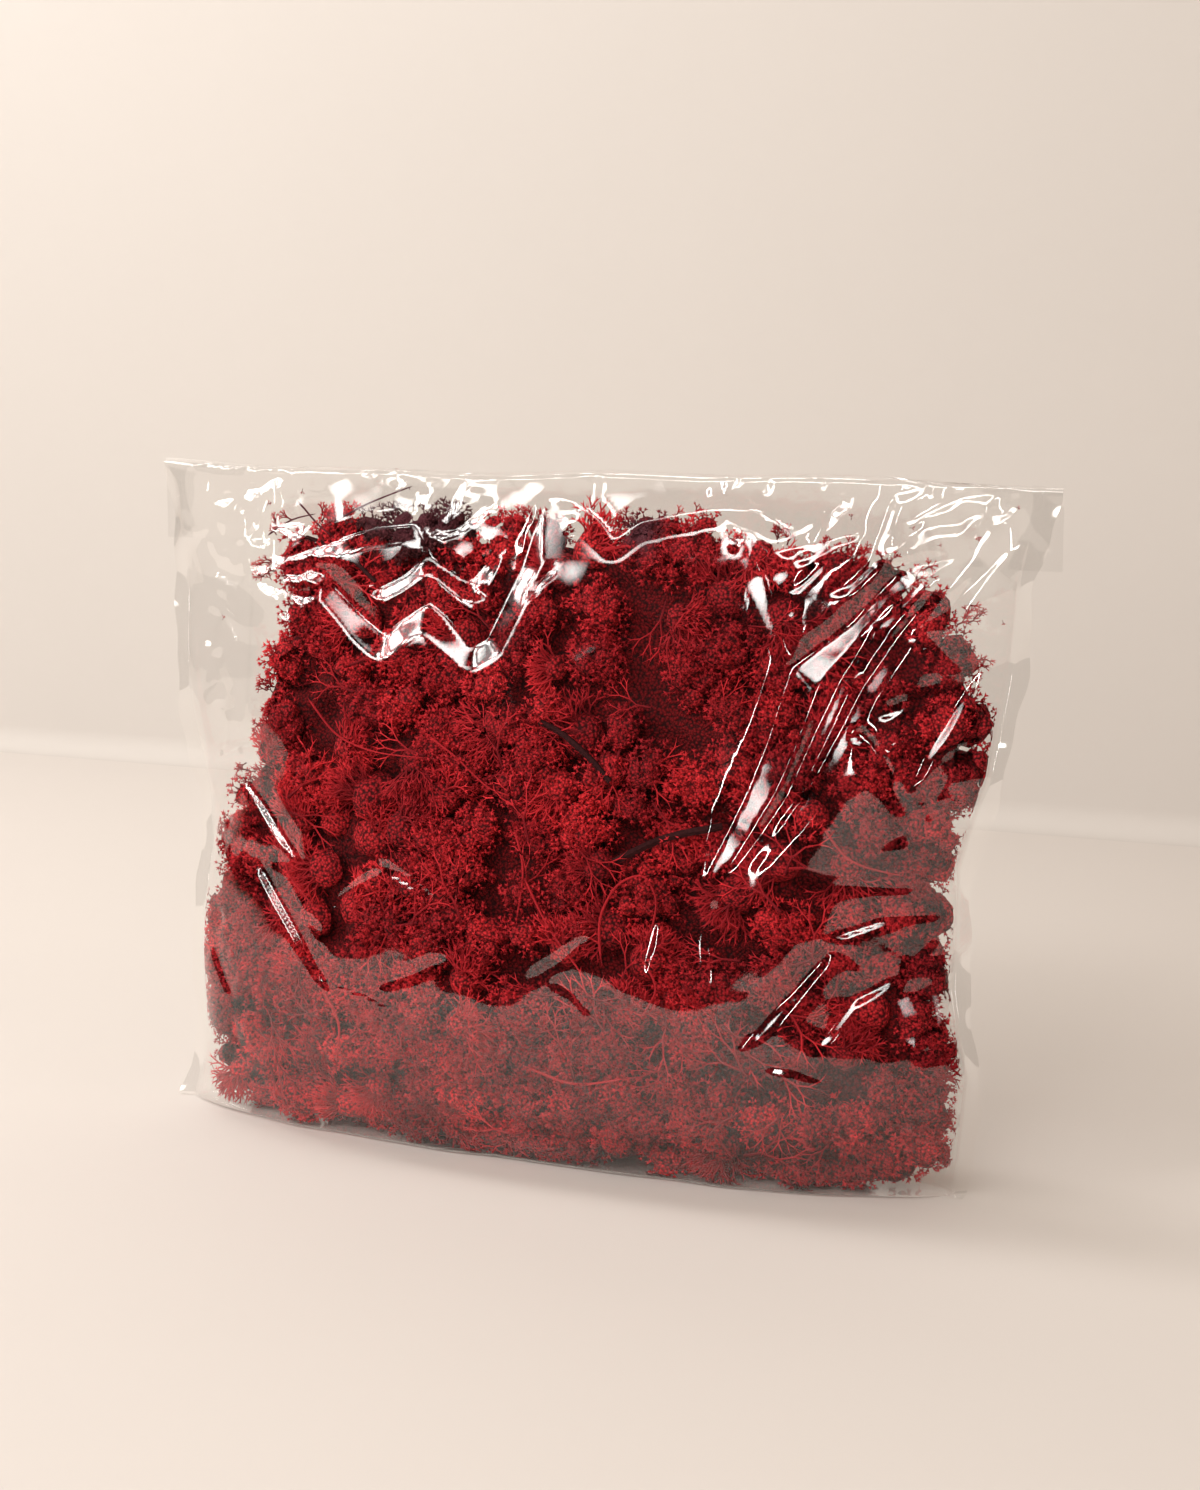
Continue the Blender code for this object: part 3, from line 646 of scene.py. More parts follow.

# %% [markdown]
# ## Moss: where the heads are
#
# The imported moss fills the bag, but only its outer two centimetres are ever seen. So an inner body is made
# first, a lumpy pillow about 14 mm behind the film, and less at its foot, coloured dark as painted shade for
# the depth of the moss. Heads are then set on a second such pillow in front of it. They crowd as far as a
# smallest spacing allows. They stand back where two tufts of the part meet, which draws the dark valleys
# between them, and are left out at a few named hollows.

# %% The inner body
MOSS_LEFT = ((0, -143), (35, -146), (89, -143), (116, -136), (132, -125), (160, -121), (191, -121), (215, -116))
MOSS_RIGHT = ((0, 127), (46, 131), (96, 126), (115, 130), (140, 136), (177, 139), (195, 127), (215, 110))
MOSS_TOP = ((-140, 188), (-124, 194), (-106, 203), (-85, 211), (0, 212), (34, 213), (67, 210), (96, 203),
            (136, 184))
HEAD_INSET, INNER_INSET = 10.5, 14.5
HEAD_FOOT, INNER_FOOT = 6.3, 2.5
FOOT_REACH, FOOT_SHARE = 14.0, 0.3
SIDE_INSET = 12.0
THIN_SHARE = 0.36
BOTTOM_POWER, TOP_POWER = 26, 8
SURFACE_LEVELS, SURFACE_SIDES = 84, 168
INNER_LEVELS, INNER_SIDES = 76, 150
INNER_WAVES = {"count": 12, "length": (6, 20), "height": 0.9}
MOSS_SEED = 23


def moss_body(inset, foot, level_count, side_count):
    """Points of a closed pillow, in mm, an inset inside the moss's outline and the film, less at its foot."""
    levels = np.linspace(0, 1, level_count)[:, None]
    turns = np.linspace(0, 2 * math.pi, side_count, endpoint=False)[None, :]
    u = np.sign(np.cos(turns)) * np.abs(np.cos(turns)) ** (2 / 3)
    rise = foot + levels * (200 - inset)
    side_inset = min(inset, SIDE_INSET)
    left, right = along(MOSS_LEFT, rise) + side_inset, along(MOSS_RIGHT, rise) - side_inset
    closing = (1 - np.abs(2 * levels - 1) ** np.where(levels < 0.5, BOTTOM_POWER, TOP_POWER)) ** 0.5
    x = (left + right) / 2 + u * (right - left) / 2 * (0.92 + 0.08 * closing)
    top = along(MOSS_TOP, x) - side_inset
    z = foot + levels * (top - foot)
    near = inset * np.clip(z / FOOT_REACH, FOOT_SHARE, 1)
    front, back = look_up(front_grid, x, z), look_up(back_grid, x, z)
    room = back - front
    middle, half = (front + back) / 2, room / 2 - np.minimum(near, room * THIN_SHARE)
    y = middle - np.sin(turns) * np.abs(np.sin(turns)) ** 0.4 * half * closing
    return np.stack([x, y + 0 * z, z], axis=2)


def ring_quads(rings, sides):
    """Quads between neighbouring rings that each close on themselves."""
    row, column = np.meshgrid(np.arange(rings - 1), np.arange(sides), indexing="ij")
    here, beside = row * sides + column, row * sides + (column + 1) % sides
    return np.stack([here, beside, beside + sides, here + sides], axis=2).reshape(-1, 4)


def grid_normals(points):
    """A normal for each point of a closed ring grid, pointing out of the body."""
    down_up = np.gradient(points, axis=0)
    round_it = np.roll(points, -1, axis=1) - np.roll(points, 1, axis=1)
    return unit_rows(np.cross(round_it, down_up))


head_surface = moss_body(HEAD_INSET, HEAD_FOOT, SURFACE_LEVELS, SURFACE_SIDES)
head_normals = -grid_normals(head_surface)
inner_points = moss_body(INNER_INSET, INNER_FOOT, INNER_LEVELS, INNER_SIDES)
inner_lumps = wave_field(
    np.random.default_rng(MOSS_SEED), inner_points[..., 0], inner_points[..., 2], **INNER_WAVES)
inner_points += grid_normals(inner_points) * inner_lumps[..., None]
print("inner body", inner_points.shape)

# %% Head places
HEAD_SPACING, BACK_SPACING = 12.8, 14.2
TOWARDS_CAMERA = unit(np.array([0.34, -0.76, 0.15]))
HEAD_RADIUS = (7.5, 13.5)
VALLEY_DEPTH, VALLEY_WIDTH = 4.5, 9.0
HOLE_RIM = 0.5
# x, z, radius and depth of each hollow
HOLES = ((13, 198, 6, 8.0), (17, 187, 6, 9.0), (22, 172, 7, 9.0), (27, 157, 7, 9.0), (31, 144, 6, 8.0),
         (-2, 154, 5, 8.0), (-66, 128, 5, 6.0), (58, 80, 6, 6.0), (112, 150, 7, 5.0), (88, 140, 6, 5.0),
         (-96, 140, 5, 6.0))
tuft_names = sorted(name for name in frame["nodes"] if name.startswith("moss_tuft"))
tuft_middles = np.array([(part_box(name)[0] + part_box(name)[1]) / 2 / MM for name in tuft_names])


def set_back(x, z):
    """How far a head at (x, z) stands back from the film: between two tufts, and in the named hollows."""
    spans = np.sort(np.hypot(tuft_middles[:, 0] - x, tuft_middles[:, 2] - z))
    back = VALLEY_DEPTH * max(0.0, 1 - (spans[1] - spans[0]) / VALLEY_WIDTH)
    for hole_x, hole_z, radius, depth in HOLES:
        back = max(back, depth * max(0.0, min(1.0, 1.6 - math.hypot(x - hole_x, z - hole_z) / radius)))
    return back


def in_hole(place, normal):
    """True where the heads in front leave a gap, as at a named hollow."""
    if normal[1] >= 0:
        return False
    return any(math.hypot(place[0] - x, place[2] - z) < radius + HOLE_RIM for x, z, radius, _ in HOLES)


def crowd(points, spacing, rng):
    """Indices of points in random order, each at least a spacing from those before it."""
    chosen = []
    places = np.empty((0, 3))
    for index in rng.permutation(len(points)):
        if len(places) == 0 or np.min(np.sum((places - points[index]) ** 2, axis=1)) > spacing**2:
            chosen.append(index)
            places = np.vstack([places, points[index]])
    return chosen


moss_rng = np.random.default_rng(MOSS_SEED)
flat_points, flat_normals = head_surface.reshape(-1, 3), head_normals.reshape(-1, 3)
in_view = np.flatnonzero(flat_normals @ TOWARDS_CAMERA > 0)
out_of_view = np.flatnonzero(flat_normals @ TOWARDS_CAMERA <= 0)
head_indices = [in_view[k] for k in crowd(flat_points[in_view], HEAD_SPACING, moss_rng)]
head_indices += [out_of_view[k] for k in crowd(flat_points[out_of_view], BACK_SPACING, moss_rng)]
head_indices = [k for k in head_indices if not in_hole(flat_points[k], flat_normals[k])]
print("heads", len(head_indices))

# %% [markdown]
# A head is built like a cauliflower. Lobes are laid out over it by the golden angle, which covers a cap
# evenly, and a few are left out, which leaves holes. Each lobe is a small lumpy ball, as fine-grained as
# velvet, and carries short sprouts that point away from its middle. Some heads are fans instead, whose longer
# sprigs spread sideways along the film. What the camera never sees closely, the back, gets fewer sprouts.

# %% Directions over a cap
CAP_ANGLE = math.radians(80)
GOLDEN = math.pi * (3 - math.sqrt(5))
WAY_SPREAD, FULL_ROLL = 0.15, 3.0
ROLL_REFERENCE = np.array([0.37, 0.61, 0.70])


def cap_ways(normal, count, cap, rng):
    """Evenly spread directions round a normal."""
    heights = 1 - (1 - math.cos(cap)) * (np.arange(count) + 0.5) / count
    turns = GOLDEN * np.arange(count) + rng.uniform(0, 2 * math.pi)
    side = unit(np.cross(normal, (0.2, 0.1, 0.97)))
    other = np.cross(normal, side)
    flat = np.sqrt(1 - heights**2)
    ways = np.outer(heights, normal) + np.outer(flat * np.cos(turns), side)
    ways += np.outer(flat * np.sin(turns), other)
    return unit_rows(ways + rng.normal(0, WAY_SPREAD, ways.shape))


def frames_for(ways, up, rng, roll_spread):
    """A turn matrix for each direction: the third column along it, the second one rolled away from up."""
    side = unit_rows(np.cross(np.broadcast_to(up, ways.shape), ways))
    other = np.cross(ways, side)
    roll = rng.normal(0, roll_spread, len(ways))[:, None]
    rolled_side = side * np.cos(roll) + other * np.sin(roll)
    rolled_other = other * np.cos(roll) - side * np.sin(roll)
    return np.stack([rolled_side, rolled_other, ways], axis=2)


def any_roll(ways, rng):
    """The same, rolled at random."""
    return frames_for(ways, ROLL_REFERENCE, rng, FULL_ROLL)


print("golden angle in degrees", round(math.degrees(GOLDEN), 1))

# %% Heads, lobes and sprouts
LOBE_AREA, LOBE_RADIUS, LOBE_MISSING = 62.0, (2.9, 5.2), 0.12
LOBE_SINK, LOBE_SCATTER, LOBE_TONE_SPREAD = (0.85, 1.5), 0.6, 0.15
SPROUT_CAP = math.radians(72)
# a direction faces the camera, lies aside of it or points away from it by its share along the line of sight
FACING, AWAY = 0.15, -0.3
SPROUTS_SEEN, SPROUTS_ASIDE, SPROUTS_BEHIND = 7, 4, 2
BALL_SEEN, BALL_BEHIND = 0.86, 1.15
HEAD_STRETCH, HEAD_RISE = 0.6, 0.94
SPROUT_SINK, SPROUT_SIZES = 0.7, (0.75, 1.25)
FAN_SHARE, FAN_SHARE_IN_PLACE, FAN_SPRIGS = 0.12, 0.75, 15
FAN_OPENING, FAN_SINK, FAN_BACK, FAN_ROLL, FAN_SIZES = 0.6, 7, 5, 0.35, (0.7, 1.1)
FAN_CORE, HEAD_CORE = 0.6, 0.55
# x, z and radius of the places with many fans
FAN_PLACES = ((-88, 95, 22), (-60, 125, 20), (18, 62, 16), (21, 70, 18), (60, 186, 14))


def fan_head(centre, normal, radius, tone, rng):
    """Long sprigs that leave a head sideways: shapes, feet, turn matrices, sizes and tones."""
    along_film = unit(np.cross(normal, rng.normal(size=3)))
    ways = unit_rows(cap_ways(normal, FAN_SPRIGS, CAP_ANGLE, rng) * FAN_OPENING + along_film)
    feet = centre + ways * (radius - FAN_SINK) - along_film * FAN_BACK
    size = rng.uniform(*FAN_SIZES, FAN_SPRIGS)
    kinds = rng.integers(*FAN_RANGE, FAN_SPRIGS)
    return kinds, feet, frames_for(ways, normal, rng, FAN_ROLL), size, tone + rng.normal(0, 0.1, FAN_SPRIGS)


def lobe_sprouts(centre, radius, way, count, tone, rng):
    """Short sprouts all over the outer side of one lobe, given in the same way."""
    ways = cap_ways(way, count, SPROUT_CAP, rng)
    size = rng.uniform(*SPROUT_SIZES, count)
    feet = centre + ways * (radius - SPROUT_SINK)
    kinds = rng.integers(*SPROUT_RANGE, count)
    return kinds, feet, any_roll(ways, rng), size, tone + rng.normal(0, 0.12, count)


def is_fan(place, normal, rng):
    """Whether a head is a fan, drawn at random. In front, a few places have many of them."""
    in_place = normal[1] < -0.25 and any(math.hypot(place[0] - x, place[2] - z) < r for x, z, r in FAN_PLACES)
    return rng.uniform() < (FAN_SHARE_IN_PLACE if in_place else FAN_SHARE)


def grow_heads(places, rng):
    """Sprigs and balls of every head. A place is a point and a way out."""
    sprigs, balls = [], []
    for place, normal in places:
        radius = rng.uniform(*HEAD_RADIUS)
        tone = rng.uniform()
        centre = place + normal * (HEAD_INSET - radius * HEAD_RISE - set_back(place[0], place[2]))
        stretch_way = unit(np.cross(normal, rng.normal(size=3))) * rng.uniform(0, HEAD_STRETCH)
        if is_fan(place, normal, rng):
            sprigs.append(fan_head(centre, normal, radius, tone, rng))
            balls.append((centre, radius * FAN_CORE, normal, tone))
            continue
        # the core ball under the lobes gets half its head's tone: a darker colour that is painted shade
        balls.append((centre, radius * HEAD_CORE, normal, tone * 0.5))
        lobes = max(3, int(2 * math.pi * radius**2 * (1 - math.cos(CAP_ANGLE)) / LOBE_AREA))
        for way in cap_ways(normal, lobes, CAP_ANGLE, rng):
            if rng.uniform() < LOBE_MISSING:
                continue
            lobe = rng.uniform(*LOBE_RADIUS)
            reach = radius - lobe * rng.uniform(*LOBE_SINK) - 1.2
            stretched = way + stretch_way * (way @ stretch_way)
            lobe_centre = centre + stretched * reach + rng.normal(0, LOBE_SCATTER, 3)
            lobe_tone = tone + rng.normal(0, LOBE_TONE_SPREAD)
            facing = way @ TOWARDS_CAMERA
            balls.append((lobe_centre, lobe * (BALL_SEEN if facing > AWAY else BALL_BEHIND), way, lobe_tone))
            count = SPROUTS_SEEN if facing > FACING else SPROUTS_ASIDE if facing > AWAY else SPROUTS_BEHIND
            sprigs.append(lobe_sprouts(lobe_centre, lobe, way, count, lobe_tone, rng))
    return [np.concatenate(part) for part in zip(*sprigs)], balls


head_places = [(flat_points[index], flat_normals[index]) for index in head_indices]
head_sprigs, crowns = grow_heads(head_places, moss_rng)
print("head sprigs", len(head_sprigs[0]), "balls", len(crowns))

# %% [markdown]
# Heads alone would leave too smooth an outline. So bare runners creep along the film, small open tufts stand
# out of the moss's outline as its ragged edge, and a few crumbs stick to the clear film above it. A height and
# a side place for each are enough, because the film's lookup gives the depth.

# %% Runners, edge tufts and crumbs
FRONT_RUNNERS, BACK_RUNNERS = 80, 30
RUNNER_DEPTH, RUNNER_HEIGHTS = (1.5, 5.0), (10, 192)
# x and z of the foot, direction in degrees from level, number of sprigs
EDGE_TUFTS = ((-121, 187, 165, 9), (-118, 150, 160, 10), (-128, 118, 170, 7), (-136, 96, 175, 6),
              (-112, 203, 135, 7), (-92, 207, 110, 7), (-70, 209, 95, 9), (-48, 210, 80, 7), (-20, 209, 85, 7),
              (14, 210, 100, 8), (36, 210, 70, 8), (66, 208, 95, 6), (92, 201, 60, 7), (112, 195, 50, 6),
              (128, 184, 35, 8), (132, 168, 15, 9), (133, 150, 0, 8), (130, 132, -10, 7), (126, 112, 0, 6),
              (126, 92, -20, 5), (128, 62, 0, 6), (129, 40, -10, 6), (128, 20, -20, 6), (-140, 40, 180, 6),
              (-141, 68, 175, 6))
EDGE_DEPTH, EDGE_MARGIN, EDGE_SPREAD = 3.0, 15.0, 24
EDGE_SCATTER = np.array((2.0, 3.0, 2.0))
# x, z and size
CRUMBS = ((6, 209, 0.5), (43, 211, 0.4), (91, 212, 0.45), (109, 210, 0.4), (138, 183, 0.4), (-115, 210, 0.5),
          (-101, 216, 0.45), (131, 206, 0.6), (141, 217, 0.4), (-131, 171, 0.4), (118, 205, 0.35),
          (-60, 218, 0.4))


def runner_sprigs(rng):
    """Long bare stems that creep along just behind the film, on both faces of the bag."""
    count = FRONT_RUNNERS + BACK_RUNNERS
    in_front = np.arange(count) < FRONT_RUNNERS
    z = rng.uniform(*RUNNER_HEIGHTS, count)
    share = rng.uniform(0.10, 0.90, count)
    x = along(MOSS_LEFT, z) * (1 - share) + along(MOSS_RIGHT, z) * share
    depth = rng.uniform(*RUNNER_DEPTH, count)
    y = np.where(in_front, look_up(front_grid, x, z) + depth, look_up(back_grid, x, z) - depth)
    turn = np.where(x > 90, math.pi, 0) + rng.uniform(-1.4, 1.4, count)
    turn += np.where(np.abs(x) < 90, math.pi, 0) * (rng.uniform(size=count) < 0.5)
    lean = np.where(in_front, 1, -1) * rng.uniform(-0.1, 0.16, count)
    ways = unit_rows(np.stack([np.cos(turn), lean, np.sin(turn)], axis=1))
    turns = frames_for(ways, np.array([0, -1.0, 0]), rng, 0.3)
    kinds = rng.integers(*RUNNER_RANGE, count)
    return kinds, np.stack([x, y, z], axis=1), turns, rng.uniform(0.6, 1.1, count), rng.uniform(0.3, 1, count)


def edge_sprigs(rng):
    """Small open tufts that stand out of the moss's outline, as its ragged edge against the clear film."""
    parts = []
    for x, z, turn, count in EDGE_TUFTS:
        x = min(max(x, along(LEFT_SIDE, z) + EDGE_MARGIN), along(RIGHT_SIDE, z) - EDGE_MARGIN)
        middle = (look_up(front_grid, x, z) + look_up(back_grid, x, z)) / 2
        turns = np.radians(rng.normal(turn, EDGE_SPREAD, count))
        ways = unit_rows(np.stack([np.cos(turns), rng.normal(-0.25, 0.3, count), np.sin(turns)], axis=1))
        feet = np.array([x, middle, z]) + rng.normal(0, 1, (count, 3)) * EDGE_SCATTER - EDGE_DEPTH * ways
        kinds, frames = rng.integers(*HEAD_RANGE, count), any_roll(ways, rng)
        parts.append((kinds, feet, frames, rng.uniform(0.5, 0.85, count), rng.uniform(0, 0.8, count)))
    return [np.concatenate(part) for part in zip(*parts)]


def crumb_sprigs(rng):
    """Loose bits that fell off and stick to the inside of the clear film."""
    x, z, size = np.array(CRUMBS).T
    feet = np.stack([x, look_up(front_grid, x, z) + 1.0, z], axis=1)
    ways = unit_rows(rng.normal(size=feet.shape) * (1, 0.2, 1))
    return rng.integers(*SPROUT_RANGE, len(x)), feet, any_roll(ways, rng), size, np.full(len(x), 0.3)


all_sprigs = head_sprigs, runner_sprigs(moss_rng), edge_sprigs(moss_rng), crumb_sprigs(moss_rng)
sprig_kinds, sprig_feet, sprig_turns, sprig_sizes, sprig_tones = (
    np.concatenate(parts) for parts in zip(*all_sprigs))
print("sprigs", len(sprig_kinds))

# %% [markdown]
# A few heads took a brown dye instead of the crimson one. A handful of round spots says where, and each point's
# distance from them says how brown it is, so the two dyes run into each other. Every sprig then goes to the
# nearest tuft of the part, so that the pieces here are the pieces there.

# %% Brown spots, and the tuft that each sprig belongs to
# x, z and radius
BROWN_SPOTS = ((-127, 148, 8), (-72, 212, 8), (-61, 209, 10), (-50, 210, 8), (22, 205, 6))
brown_tufts = [s["node"] for s in frame["record"]["subparts"] if s.get("material_slot") == "brown_moss"]


def brownness(places):
    """1 in a brown spot, 0 well outside, for each place."""
    x, z = places[:, 0], places[:, 2]
    spots = [1.5 - np.hypot(x - spot_x, z - spot_z) / radius for spot_x, spot_z, radius in BROWN_SPOTS]
    return np.clip(np.max(spots, axis=0), 0, 1)


def nearest_tuft(places):
    """Which tuft of the part each place belongs to. A brown one keeps to the brown spots."""
    spans = np.hypot(places[:, None, 0] - tuft_middles[:, 0], places[:, None, 2] - tuft_middles[:, 2])
    for name in brown_tufts:
        spans[brownness(places) == 0, tuft_names.index(name)] = np.inf
    return np.argmin(spans, axis=1)


sprig_tufts = nearest_tuft(sprig_feet)
crown_tufts = nearest_tuft(np.array([crown[0] for crown in crowns]))
print("sprigs of each tuft", np.bincount(sprig_tufts).tolist())

# %% [markdown]
# ## Moss: from sprigs to meshes
#
# Instances would be light, but each tuft has to be a mesh of its own, so the sprigs and the balls they grow
# on are baked: their points are turned, moved and pressed behind the film, and written in one go with
# foreach_set, which is hundreds of times faster than a loop over vertices. Three numbers go with each point
# for the material: how near it is to a tip, the tone of its head and how much of the brown dye it took.

# %% Baking the tufts
def add_mesh(name, points, faces, **values):
    """A smooth mesh object from points in mm, with float values for each point."""
    mesh = bpy.data.meshes.new(name)
    corners = faces.shape[1]
    mesh.vertices.add(len(points))
    mesh.vertices.foreach_set("co", (points * MM).astype(np.float32).ravel())
    mesh.loops.add(faces.size)
    mesh.loops.foreach_set("vertex_index", faces.astype(np.int32).ravel())
    mesh.polygons.add(len(faces))
    mesh.polygons.foreach_set("loop_start", np.arange(0, faces.size, corners, dtype=np.int32))
    mesh.polygons.foreach_set("use_smooth", np.ones(len(faces), dtype=bool))
    mesh.update(calc_edges=True)
    for label, value in values.items():
        mesh.attributes.new(label, "FLOAT", "POINT").data.foreach_set("value", value.astype(np.float32))
    thing = bpy.data.objects.new(name, mesh)
    bpy.context.scene.collection.objects.link(thing)
    return thing


def bake(chosen):
    """Points, triangles and values of the chosen sprigs."""
    parts, count = [], 0
    for kind, (shape, shape_faces, heights) in enumerate(SPRIG_SHAPES):
        picked = chosen[sprig_kinds[chosen] == kind]
        if len(picked) == 0:
            continue
        feet, size = sprig_feet[picked], len(shape)
        turned = np.einsum("nij,pj->npi", sprig_turns[picked], shape) * sprig_sizes[picked][:, None, None]
        placed = (turned + feet[:, None, :]).reshape(-1, 3)
        offsets = count + size * np.arange(len(picked))
        faces = (shape_faces[None] + offsets[:, None, None]).reshape(-1, 3)
        tones, browns = np.repeat(sprig_tones[picked], size), np.repeat(brownness(feet), size)
        parts.append((placed, faces, np.tile(heights, len(picked)), tones, browns))
        count += len(placed)
    return [np.concatenate(part) for part in zip(*parts)]


def crown_shape():
    """The outer part of a unit ball of triangles."""
    ball = bmesh.new()
    bmesh.ops.create_icosphere(ball, subdivisions=2, radius=1)
    under = [point for point in ball.verts if point.co.z < CROWN_FLOOR]
    bmesh.ops.delete(ball, geom=under, context="VERTS")
    ball.verts.index_update()
    points = np.array([point.co for point in ball.verts])
    faces = np.array([[corner.index for corner in face.verts] for face in ball.faces])
    ball.free()
    return points, faces


def lumps(points):
    """A bumpy field, from about -1 to 1, with bumps some 5 mm wide."""
    x, y, z = points.T
    return (np.sin(x * 1.3 + 1.7 * np.sin(z * 0.7)) + np.sin(z * 1.5 + 1.3 * np.sin(y * 0.9)) +
            np.sin(y * 1.4 + 1.9 * np.sin(x * 0.8))) / 3


def bake_crowns(chosen):
    """Points, triangles and values of the chosen balls."""
    points, faces, tones = [], [], []
    for number in chosen:
        centre, radius, normal, tone = crowns[number]
        turn = np.array(Vector(normal).to_track_quat("Z", "Y").to_matrix())
        ways = CROWN_POINTS @ turn.T
        round_points = centre + ways * radius
        points.append(round_points + ways * (lumps(round_points) * CROWN_LUMP * radius)[:, None])
        faces.append(CROWN_FACES + len(CROWN_POINTS) * len(faces))
        tones.append(np.full(len(ways), tone))
    points = np.vstack(points)
    tips = np.full(len(points), CROWN_TIP)
    return [points, np.vstack(faces), tips, np.concatenate(tones), brownness(points)]


CROWN_FLOOR, CROWN_LUMP, CROWN_TIP = -0.05, 0.16, 0.6
CROWN_POINTS, CROWN_FACES = crown_shape()
tufts = []
for number, name in enumerate(tuft_names):
    sprig_part = bake(np.flatnonzero(sprig_tufts == number))
    crown_part = bake_crowns(np.flatnonzero(crown_tufts == number))
    crown_part[1] = crown_part[1] + len(sprig_part[0])
    points, faces, tip, tone, brown = (np.concatenate(pair) for pair in zip(sprig_part, crown_part))
    tuft_name = name.replace("moss_tuft", "moss_sprigs")
    tuft = add_mesh(tuft_name, press_in(points), faces, tip=tip, tone=tone, brown=brown)
    on_crown = np.arange(len(faces)) >= len(sprig_part[1])
    tuft.data.polygons.foreach_set("material_index", on_crown.astype(np.int32))
    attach(tuft, "root")
    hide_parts(name)
    tufts.append(tuft)
inner = add_mesh("moss_inner", press_in(inner_points.reshape(-1, 3)), ring_quads(INNER_LEVELS, INNER_SIDES))
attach(inner, "root")
print("tuft triangles", sum(len(tuft.data.polygons) for tuft in tufts))

# %% [markdown]
# Here and there a long bare stem curves over the heads, and a few dry needles lie under the clear band at the
# top. Each is drawn as a few points on the film, rounded, and swept as a thin tube just behind the film.

# %% Long stems and needles
STEMS = (
    # points (x, z), radius, and 1 for a brown needle
    (((21, 74), (19, 87), (24, 98), (33, 102), (38, 94), (37, 84), (31, 75)), 0.50, 0),
    (((-92, 148), (-80, 136), (-64, 132), (-45, 132)), 0.42, 0),
    (((-45, 139), (-34, 133), (-23, 124), (-14, 122)), 0.42, 0),
    (((-12, 112), (-7, 100), (-9, 84)), 0.50, 0),
    (((-7, 97), (2, 82), (18, 66)), 0.50, 0),
    (((34, 76), (41, 67), (35, 57)), 0.50, 0),
    (((10, 200), (20, 202), (31, 198)), 0.75, 0),
    (((40, 182), (34, 172), (38, 160)), 0.35, 0),
    (((-80, 54), (-72, 43), (-75, 29)), 0.60, 0),
    (((-4, 37), (12, 32), (30, 37)), 0.60, 0),
    (((-104, 108), (-98, 90), (-84, 80)), 0.50, 0),
    (((88, 120), (96, 108), (112, 104)), 0.50, 0),
    (((-103, 212), (-96, 206), (-88, 201)), 0.40, 1),
    (((-90, 204), (-76, 212), (-60, 218)), 0.40, 1),
    (((-114, 200), (-105, 206), (-95, 208)), 0.35, 1),
)
STEM_DEPTH, STEM_SIDES, STEM_STEPS, STEM_ROUNDING = 1.5, 6, 7, 8
STEM_THINNING, STEM_END = 0.45, 30


def stem_tube(places, radius):
    """Points and quads of one stem. Its path is rounded by averaging each point with its neighbours."""
    knots = np.array(places, dtype=float)
    at = np.linspace(0, len(knots) - 1, STEM_STEPS * (len(knots) - 1) + 1)
    path = np.stack([np.interp(at, np.arange(len(knots)), knots[:, axis]) for axis in (0, 1)], axis=1)
    for _ in range(STEM_ROUNDING):
        path[1:-1] = (path[:-2] + 2 * path[1:-1] + path[2:]) / 4
    depth = look_up(front_grid, path[:, 0], path[:, 1]) + STEM_DEPTH
    line = np.stack([path[:, 0], depth, path[:, 1]], axis=1)
    ways = unit_rows(np.gradient(line, axis=0))
    side = unit_rows(np.cross(ways, (0.0, -1.0, 0.0)))
    other = np.cross(ways, side)
    share = np.linspace(0, 1, len(line))
    pointed = np.clip(np.minimum(share, 1 - share) * STEM_END, 0.05, 1)
    girth = radius * (1 - STEM_THINNING * share) * pointed
    turns = 2 * math.pi * np.arange(STEM_SIDES) / STEM_SIDES
    ring = side[:, None] * np.cos(turns)[None, :, None] + other[:, None] * np.sin(turns)[None, :, None]
    return (line[:, None] + ring * girth[:, None, None]).reshape(-1, 3), ring_quads(len(line), STEM_SIDES)


stem_points, stem_faces, stem_browns = [], [], []
for places, radius, is_needle in STEMS:
    points, faces = stem_tube(places, radius)
    stem_faces.append(faces + sum(len(part) for part in stem_points))
    stem_points.append(points)
    stem_browns.append(np.full(len(points), float(is_needle)))
stem_brown = np.concatenate(stem_browns)
stems = add_mesh("moss_stems", press_in(np.vstack(stem_points)), np.vstack(stem_faces),
                 tip=np.full(len(stem_brown), 0.5), tone=np.full(len(stem_brown), 0.5), brown=stem_brown)
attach(stems, "root")
print("stems", len(STEMS))

# %% [markdown]
# ## Moss: colour
#
# Dyed lichen is matt and deep crimson. Its colour also holds painted light and shade: it is brighter and more
# orange-red towards the tips, as painted light, and darker and more blue-red down the stems, as painted shade,
# and each head took the dye a little differently. The same effect serves the crimson and the brown tufts and
# the inner body, so it is a node group that puts out a colour and a height.

# %% The dyed branch group
# Stem is the dye darkened as painted shade, Tip the dye brightened as painted light
GROUP_INPUTS = {"Stem": (0.08, 0.002, 0.006, 1), "Tip": (0.6, 0.02, 0.03, 1), "Stain": (0.05, 0.015, 0.02, 1),
                "Nearness": 0.5, "Tone": 0.5, "Stained": 0.0, "Grain": 900.0}
TONE_STOPS = (0, (0.62, 0.55, 0.60)), (1, (1.15, 1.2, 1.1))
PATCH_STOPS = (0.3, (0.72, 0.66, 0.7)), (0.7, (1.1, 1.1, 1.0))
PATCH_SCALE = 60


